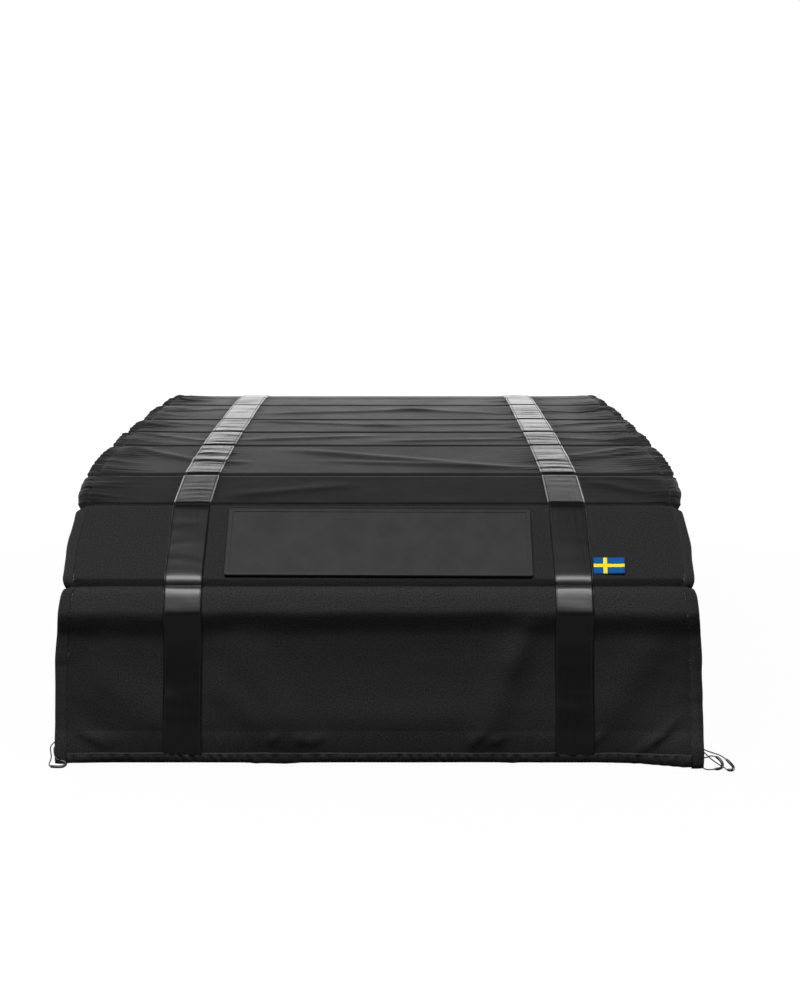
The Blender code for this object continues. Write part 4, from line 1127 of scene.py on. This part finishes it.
def wall_rows(sign, at, outwards, face):
    """Stitches along the wall's outline, and beside both of its quilted joints."""
    line = inset_line(WALL_DEPTH + 0.0032, WALL_CORNER, STITCH_BOTTOM)
    y, z, _, _ = on_line(line, even_places(0.0, line[0][-1], STITCH_PITCH["wall"]))
    runs = [(at + outwards * face, y, z)]
    for joint in WALL_JOINTS:
        for beside_joint in (-0.0042, 0.0042):
            z = even_places(STITCH_BOTTOM, QUILT_TOP, STITCH_PITCH["quilting"])
            runs.append((at + outwards * 0.0010, np.full_like(z, joint + beside_joint), z))
    rows = []
    for x, y, z in runs:
        away = np.tile([sign * outwards, 0.0, 0.0], (len(z), 1))
        stitch_row(rows, np.column_stack([np.full_like(z, sign * x), y, z]), away, INNER_THREAD)
    return rows


def walls():
    """Outer cloth and lining of the two side walls, quilted between the boards, and their stitching."""
    us = np.unique(np.concatenate([np.linspace(0, 1, 230), np.linspace(0.34, 0.38, 20)]))
    for side, sign in (("left", -1), ("right", 1)):
        for kind, solid, at, outwards, slot, face in WALL_LAYERS:
            mat = WALL_CLOTH if kind == "cloth" else LINING
            piece = laid_grid(f"wall_{kind}_sewn_{side}", us, np.linspace(0, 1, 44),
                              wall_point(sign, at, outwards), mat, uv=lambda u, v: (u * 2.0, v * 0.33))
            thicken(piece, LAYER["wall"], 0.0)
            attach(piece, f"wall_{side}")
            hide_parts(f"{solid}_{side}")
            rows = wall_rows(sign, at, outwards, face)
            sew(f"wall_{kind}_stitching_{side}", rows, THREAD, f"wall_{side}")


def cover_lining():
    """The quilted inside of the cover, sewn to it along every seam."""
    def place(x, s):
        y, z, ny, nz = profile(s)
        _, share = panel_share(s)
        arch = np.sin(math.pi * np.clip(share, 0, 1))
        free = smooth(0.0, 0.020, 0.386 - np.abs(x))
        swell = 0.0024 * arch ** 0.6
        gather = 0.0007 * waves(x, 160, 0.020, count=5) * np.exp(-np.minimum(share, 1 - share) / 0.12)
        slack = 0.0006 * waves(x + 0.4 * s, 161, 0.16, count=4)
        depth = LINING_DEPTH + (swell + (gather + slack) * arch ** 0.5) * free
        return np.column_stack([x, y - ny * depth, z - nz * depth])

    columns = np.linspace(HALF - 0.001, -HALF + 0.001, 150)
    piece = laid_grid("cover_lining_sewn", columns, fine_rows(0.0090), place, LINING)
    thicken(piece, LAYER["lining"], 0.0)
    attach(piece, "root")
    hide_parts("cover_lining")


def tooth_mesh():
    """One moulded zip tooth, 1 by 1 by 1, with softened edges."""
    bm = bmesh.new()
    bmesh.ops.create_cube(bm, size=1.0)
    bmesh.ops.bevel(bm, geom=list(bm.edges), offset=0.16, segments=1, profile=0.5, affect="EDGES",
                    material=-1)
    return points_and_faces(bm)


def tape_point(sign, edge, chain):
    """q runs from the tape's sewn edge at 0 to the teeth at 1, t along the teeth."""
    def place(q, t):
        far_y, far_z, _, _ = on_line(edge, np.interp(t, chain[0], edge[0]))
        y, z, _, _ = on_line(chain, t)
        return np.column_stack([np.full_like(t, sign * ZIP_X), far_y + (y - far_y) * q,
                                far_z + (z - far_z) * q])
    return place


def teeth_points(sign, way, middle, tooth):
    """The moved points of every tooth on one half of the chain."""
    first = 0.0016 + (0.0 if way < 0 else TOOTH_PITCH / 2)
    y, z, in_y, in_z = on_line(middle, np.arange(first, middle[0][-1] - 0.001, TOOTH_PITCH))
    inwards = np.column_stack([np.zeros_like(y), in_y, in_z])
    along = np.column_stack([np.zeros_like(y), -in_z, in_y])
    centre = np.column_stack([np.full_like(y, sign * ZIP_X), y, z]) + inwards * way * TOOTH_OFFSET
    return (centre[:, None, :] + tooth[None, :, :1] * np.array([TOOTH_SIZE[0], 0, 0])
            + tooth[None, :, 1:2] * (inwards * TOOTH_SIZE[1])[:, None, :]
            + tooth[None, :, 2:] * (along * TOOTH_SIZE[2])[:, None, :])


def zips():
    """Woven tape and moulded teeth on the cover and on the wall of each side."""
    tooth, tooth_faces = tooth_mesh()
    for side, sign in (("left", -1), ("right", 1)):
        for owner, way, depth, corner, low in ZIP_HALVES:
            body = "root" if owner == "cover" else f"wall_{side}"
            chain = inset_line(ZIP_DEPTH + way * TOOTH_OFFSET, WALL_CORNER, low)
            t = np.unique(np.concatenate([chain[0], np.linspace(0, chain[0][-1], 500)]))
            place = tape_point(sign, inset_line(depth, corner, low), chain)
            tape = laid_grid(f"zip_tape_{owner}_{side}", np.linspace(0, 1, 5), t, place, TAPE,
                             uv=lambda q, t: (q * 0.010, t))
            thicken(tape, LAYER["zip_tape"], 0.0)
            copies = teeth_points(sign, way, inset_line(ZIP_DEPTH, WALL_CORNER, low), tooth)
            teeth = repeated(f"zip_teeth_{owner}_{side}", copies, tooth_faces, PLASTIC, body)
            for piece in (tape, teeth):
                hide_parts(f"zip_{owner}_{side}")
            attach(tape, body)


def mat_point(x, y):
    """The mat sags a little between the pads and is drawn up at its middle seam."""
    off_pads = 1 - smooth(0.0, 0.050, 0.080 - np.abs(np.abs(y) - BOLT_Y[1]))
    rim = np.minimum(MAT_HALF - np.abs(x), MAT_END - np.abs(y))
    sag = 0.0009 + 0.0006 * waves(x + 0.5 * y, 180, 0.21) + 0.0004 * waves(y - 0.3 * x, 181, 0.10)
    seam = 0.0012 * bump(y, 0, 0.003)
    z = 0.0098 - np.maximum(sag, 0) * off_pads * smooth(0.0, 0.04, rim) + seam * smooth(0.0, 0.01, rim)
    return np.column_stack([x, y, np.minimum(z, 0.0101)])


def with_hole_lines(half, count, bolts):
    """Even places from -half to half, with one at each side of the bolts' holes."""
    sides = [[place - BOLT_HOLE, place + BOLT_HOLE] for place in bolts]
    return np.unique(np.concatenate([np.linspace(-half, half, count)] + sides))


def base_mat():
    """The rubberised mat under the boards, with holes for the bolts."""
    columns = with_hole_lines(MAT_HALF, 101, BOLT_X)
    rows = with_hole_lines(MAT_END, 201, BOLT_Y)
    sheet = laid_grid("base_mat_sewn", columns, rows, mat_point, BASE)
    bm = bmesh.new()
    bm.from_mesh(sheet.data)
    bolts = [(x, y) for x in BOLT_X for y in BOLT_Y]
    cut = [f for f in bm.faces if any(abs(f.calc_center_median().x - x) < BOLT_HOLE and
                                      abs(f.calc_center_median().y - y) < BOLT_HOLE for x, y in bolts)]
    bmesh.ops.delete(bm, geom=cut, context="FACES")
    bm.to_mesh(sheet.data)
    bm.free()
    thicken(sheet, LAYER["mat"], 0.0)
    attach(sheet, "root")
    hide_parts("base_mat")


def edge_tape_point(u, v):
    """u runs round the mat's edge, v across the tape from the edge inwards."""
    size = np.array([MAT_HALF, MAT_END])
    corners = size * np.array([(-1, -1), (1, -1), (1, 1), (-1, 1), (-1, -1)])
    inner = corners * (1 - EDGE_TAPE_WIDTH / size)
    lengths = np.concatenate([[0.0], np.cumsum(np.linalg.norm(np.diff(corners, axis=0), axis=1))])
    t = u * lengths[-1]
    outer_x, outer_y = (np.interp(t, lengths, corners[:, k]) for k in (0, 1))
    inner_x, inner_y = (np.interp(t, lengths, inner[:, k]) for k in (0, 1))
    x, y = outer_x + (inner_x - outer_x) * v, outer_y + (inner_y - outer_y) * v
    z = 0.0079 - 0.0003 * np.sin(math.pi * np.clip(v, 0, 1)) + 0.0001 * waves(t, 185, 0.02)
    return np.column_stack([x, y, z])


def base_edge_tape():
    """The tape round the mat's underside and its two rows of stitches."""
    lengths = np.cumsum([0, 2 * MAT_HALF, 2 * MAT_END, 2 * MAT_HALF, 2 * MAT_END])
    us = np.unique(np.concatenate([np.linspace(0, 1, 320), lengths / lengths[-1]]))
    tape = laid_grid("base_edge_tape", us, np.linspace(0, 1, 5), edge_tape_point, TAPE,
                     uv=lambda u, v: (v * EDGE_TAPE_WIDTH, u * lengths[-1]))
    thicken(tape, LAYER["edge_tape"], 0.0)
    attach(tape, "root")
    rows = []
    for v in (0.25, 0.82):
        u = even_places(0, lengths[-1], STITCH_PITCH["mat"]) / lengths[-1]
        points = edge_tape_point(u, np.full_like(u, v)) - np.array([0, 0, 0.0004])
        stitch_row(rows, points, np.tile([0.0, 0.0, -1.0], (len(u), 1)), INNER_THREAD)
    sew("base_stitching", rows, THREAD, "root")


# Badge, tab and finishes

def panel_frame(x, s):
    """Turn and place of a flat piece on the cover at a real X and arc length."""
    y, z, ny, nz = (float(v) for v in profile(s))
    right, out = Vector((1, 0, 0)), Vector((0, ny, nz))
    up = out.cross(right)
    turn = Matrix((right, up, out)).transposed().to_4x4()
    return Matrix.Translation((x, y, z)) @ turn


def badge():
    """Moulded plate with a rounded rim and a fine groove round its bare field."""
    bm = bmesh.new()
    bmesh.ops.create_cube(bm, size=1.0)
    bmesh.ops.scale(bm, vec=(*BADGE_SIZE, BADGE_THICKNESS), verts=bm.verts)
    upright = [e for e in bm.edges if abs(e.verts[0].co.z - e.verts[1].co.z) > 0.001]
    top = max(bm.faces, key=lambda f: f.calc_center_median().z)
    for thickness, rise in ((BADGE_RIM, 0.0), (0.0005, -0.0008)):
        bmesh.ops.inset_region(bm, faces=[top], thickness=thickness, use_even_offset=True)
        bmesh.ops.translate(bm, verts=top.verts, vec=(0, 0, rise))
    bmesh.ops.bevel(bm, geom=upright, offset=0.0030, segments=4, profile=0.5, affect="EDGES", material=-1)
    rim = [e for e in bm.edges if all(v.co.z > BADGE_THICKNESS / 2 - 1e-5 for v in e.verts)
           and min(f.normal.z for f in e.link_faces) < 0.5]
    bmesh.ops.bevel(bm, geom=rim, offset=0.0010, segments=3, profile=0.5, affect="EDGES", material=-1)
    lie = Matrix.Translation((0, 0, BADGE_LIFT)) @ Matrix.Rotation(BADGE_TURN, 4, "Z")
    bmesh.ops.transform(bm, matrix=panel_frame(BADGE_CENTRE_X, FRONT_FOLD + BADGE_RISE) @ lie, verts=bm.verts)
    plate = link("badge", bm, BADGE, 35)
    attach(plate, "root")
    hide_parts("badge_plate")


def tab():
    """Small woven tab, sewn under the strap's edge, its free end a little lifted and askew."""
    def place(u, v):
        skew = 0.0016 * u
        s = FRONT_FOLD + LABEL_RISE + LABEL_SIZE[1] * v - skew
        x = LABEL_LEFT + LABEL_SIZE[0] * u + 0.0012 * v
        lift = 0.0010 + 0.0026 * u ** 2 + 0.0006 * np.sin(3.0 * u + 1.5 * v)
        return cover_point(to_pattern(x, s), s, lift)

    piece = laid_grid("woven_tab", np.linspace(0, 1, 15), np.linspace(0, 1, 11), place, TAB)
    thicken(piece, LAYER["tab"])
    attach(piece, "root")
    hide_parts("side_label")


def finish_solids():
    """Finishes for the solids that stay as they are."""
    finishes = {"slat_": BOARD, "base_board": BOARD, "wall_board": BOARD, "bar_pad": RUBBER,
                "clamp_bolt": STEEL, "clamp_plate": STEEL, "clamp_knob": BOARD, "zip_slider": ENAMEL}
    for name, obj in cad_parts.items():
        for start, mat in finishes.items():
            if name.startswith(start):
                obj.data.materials.clear()
                obj.data.materials.append(mat)


# Lamps: name, place, the point each faces, width and height in metres, watts
LAMPS = [("overhead", (-0.3, -1.90, 2.6), (0.0, -0.6, 0.2), (3.0, 1.3), 136),
         ("back_glow", (0.0, 3.4, 0.80), (0.0, 0.2, 0.42), (5.0, 0.94), 50),
         ("side_left", (-3.4, 0.9, 1.2), (-0.4, 0.2, 0.2), (2.6, 1.2), 100),
         ("side_right", (3.4, 0.9, 1.2), (0.4, 0.2, 0.2), (2.6, 1.2), 100)]


def studio():
    """A pale floor that keeps the shadow, a world that is white to the camera, and four soft lamps."""
    mat, net, shader = new_material("studio_floor")
    net.put(shader.inputs["Base Color"], (0.13, 0.13, 0.13, 1))
    shader.inputs["Roughness"].default_value = 0.9
    shader.inputs["Specular IOR Level"].default_value = 0.1
    glow = net.make("Emission", Strength=1.10)
    far = net.make("VectorMath")
    far.operation = "LENGTH"
    net.put(far.inputs[0], net.make("TexCoord").outputs["Object"])
    share = net.add(0.88, net.times(net.ramp(far.outputs["Value"], 1.2, 2.4), 0.12))
    seen = net.times(net.make("LightPath").outputs["Is Camera Ray"], share)
    mixer = net.make("MixShader")
    for socket, value in zip(mixer.inputs, (seen, shader.outputs[0], glow.outputs[0])):
        net.put(socket, value)
    net.put(net.tree.nodes["Material Output"].inputs["Surface"], mixer.outputs[0])
    bm = bmesh.new()
    bmesh.ops.create_grid(bm, x_segments=1, y_segments=1, size=30)
    floor = link("floor", bm, mat)
    world = bpy.data.worlds.new("studio")
    bpy.context.scene.world = world
    net = Nodes(world)
    path = net.make("LightPath").outputs
    rays = net.maths("MAXIMUM", path["Is Camera Ray"], path["Is Transmission Ray"])
    background = net.tree.nodes["Background"]
    net.put(background.inputs["Strength"], net.add(0.02, net.times(rays, 0.98)))
    background.inputs["Color"].default_value = (1, 1, 1, 1)
    for name, place, target, size, watts in LAMPS:
        data = bpy.data.lights.new(name, "AREA")
        data.shape = "RECTANGLE"
        data.size, data.size_y = size
        data.energy = watts
        lamp = bpy.data.objects.new(name, data)
        lamp.location = place
        lamp.rotation_euler = (Vector(target) - Vector(place)).to_track_quat("-Z", "Y").to_euler()
        bpy.context.scene.collection.objects.link(lamp)
    bpy.context.scene.view_settings.view_transform = "Standard"


camera()
pulls()
cover()
flaps()
straps()
hems()
stitches()
walls()
cover_lining()
zips()
base_mat()
base_edge_tape()
badge()
tab()
finish_solids()
studio()
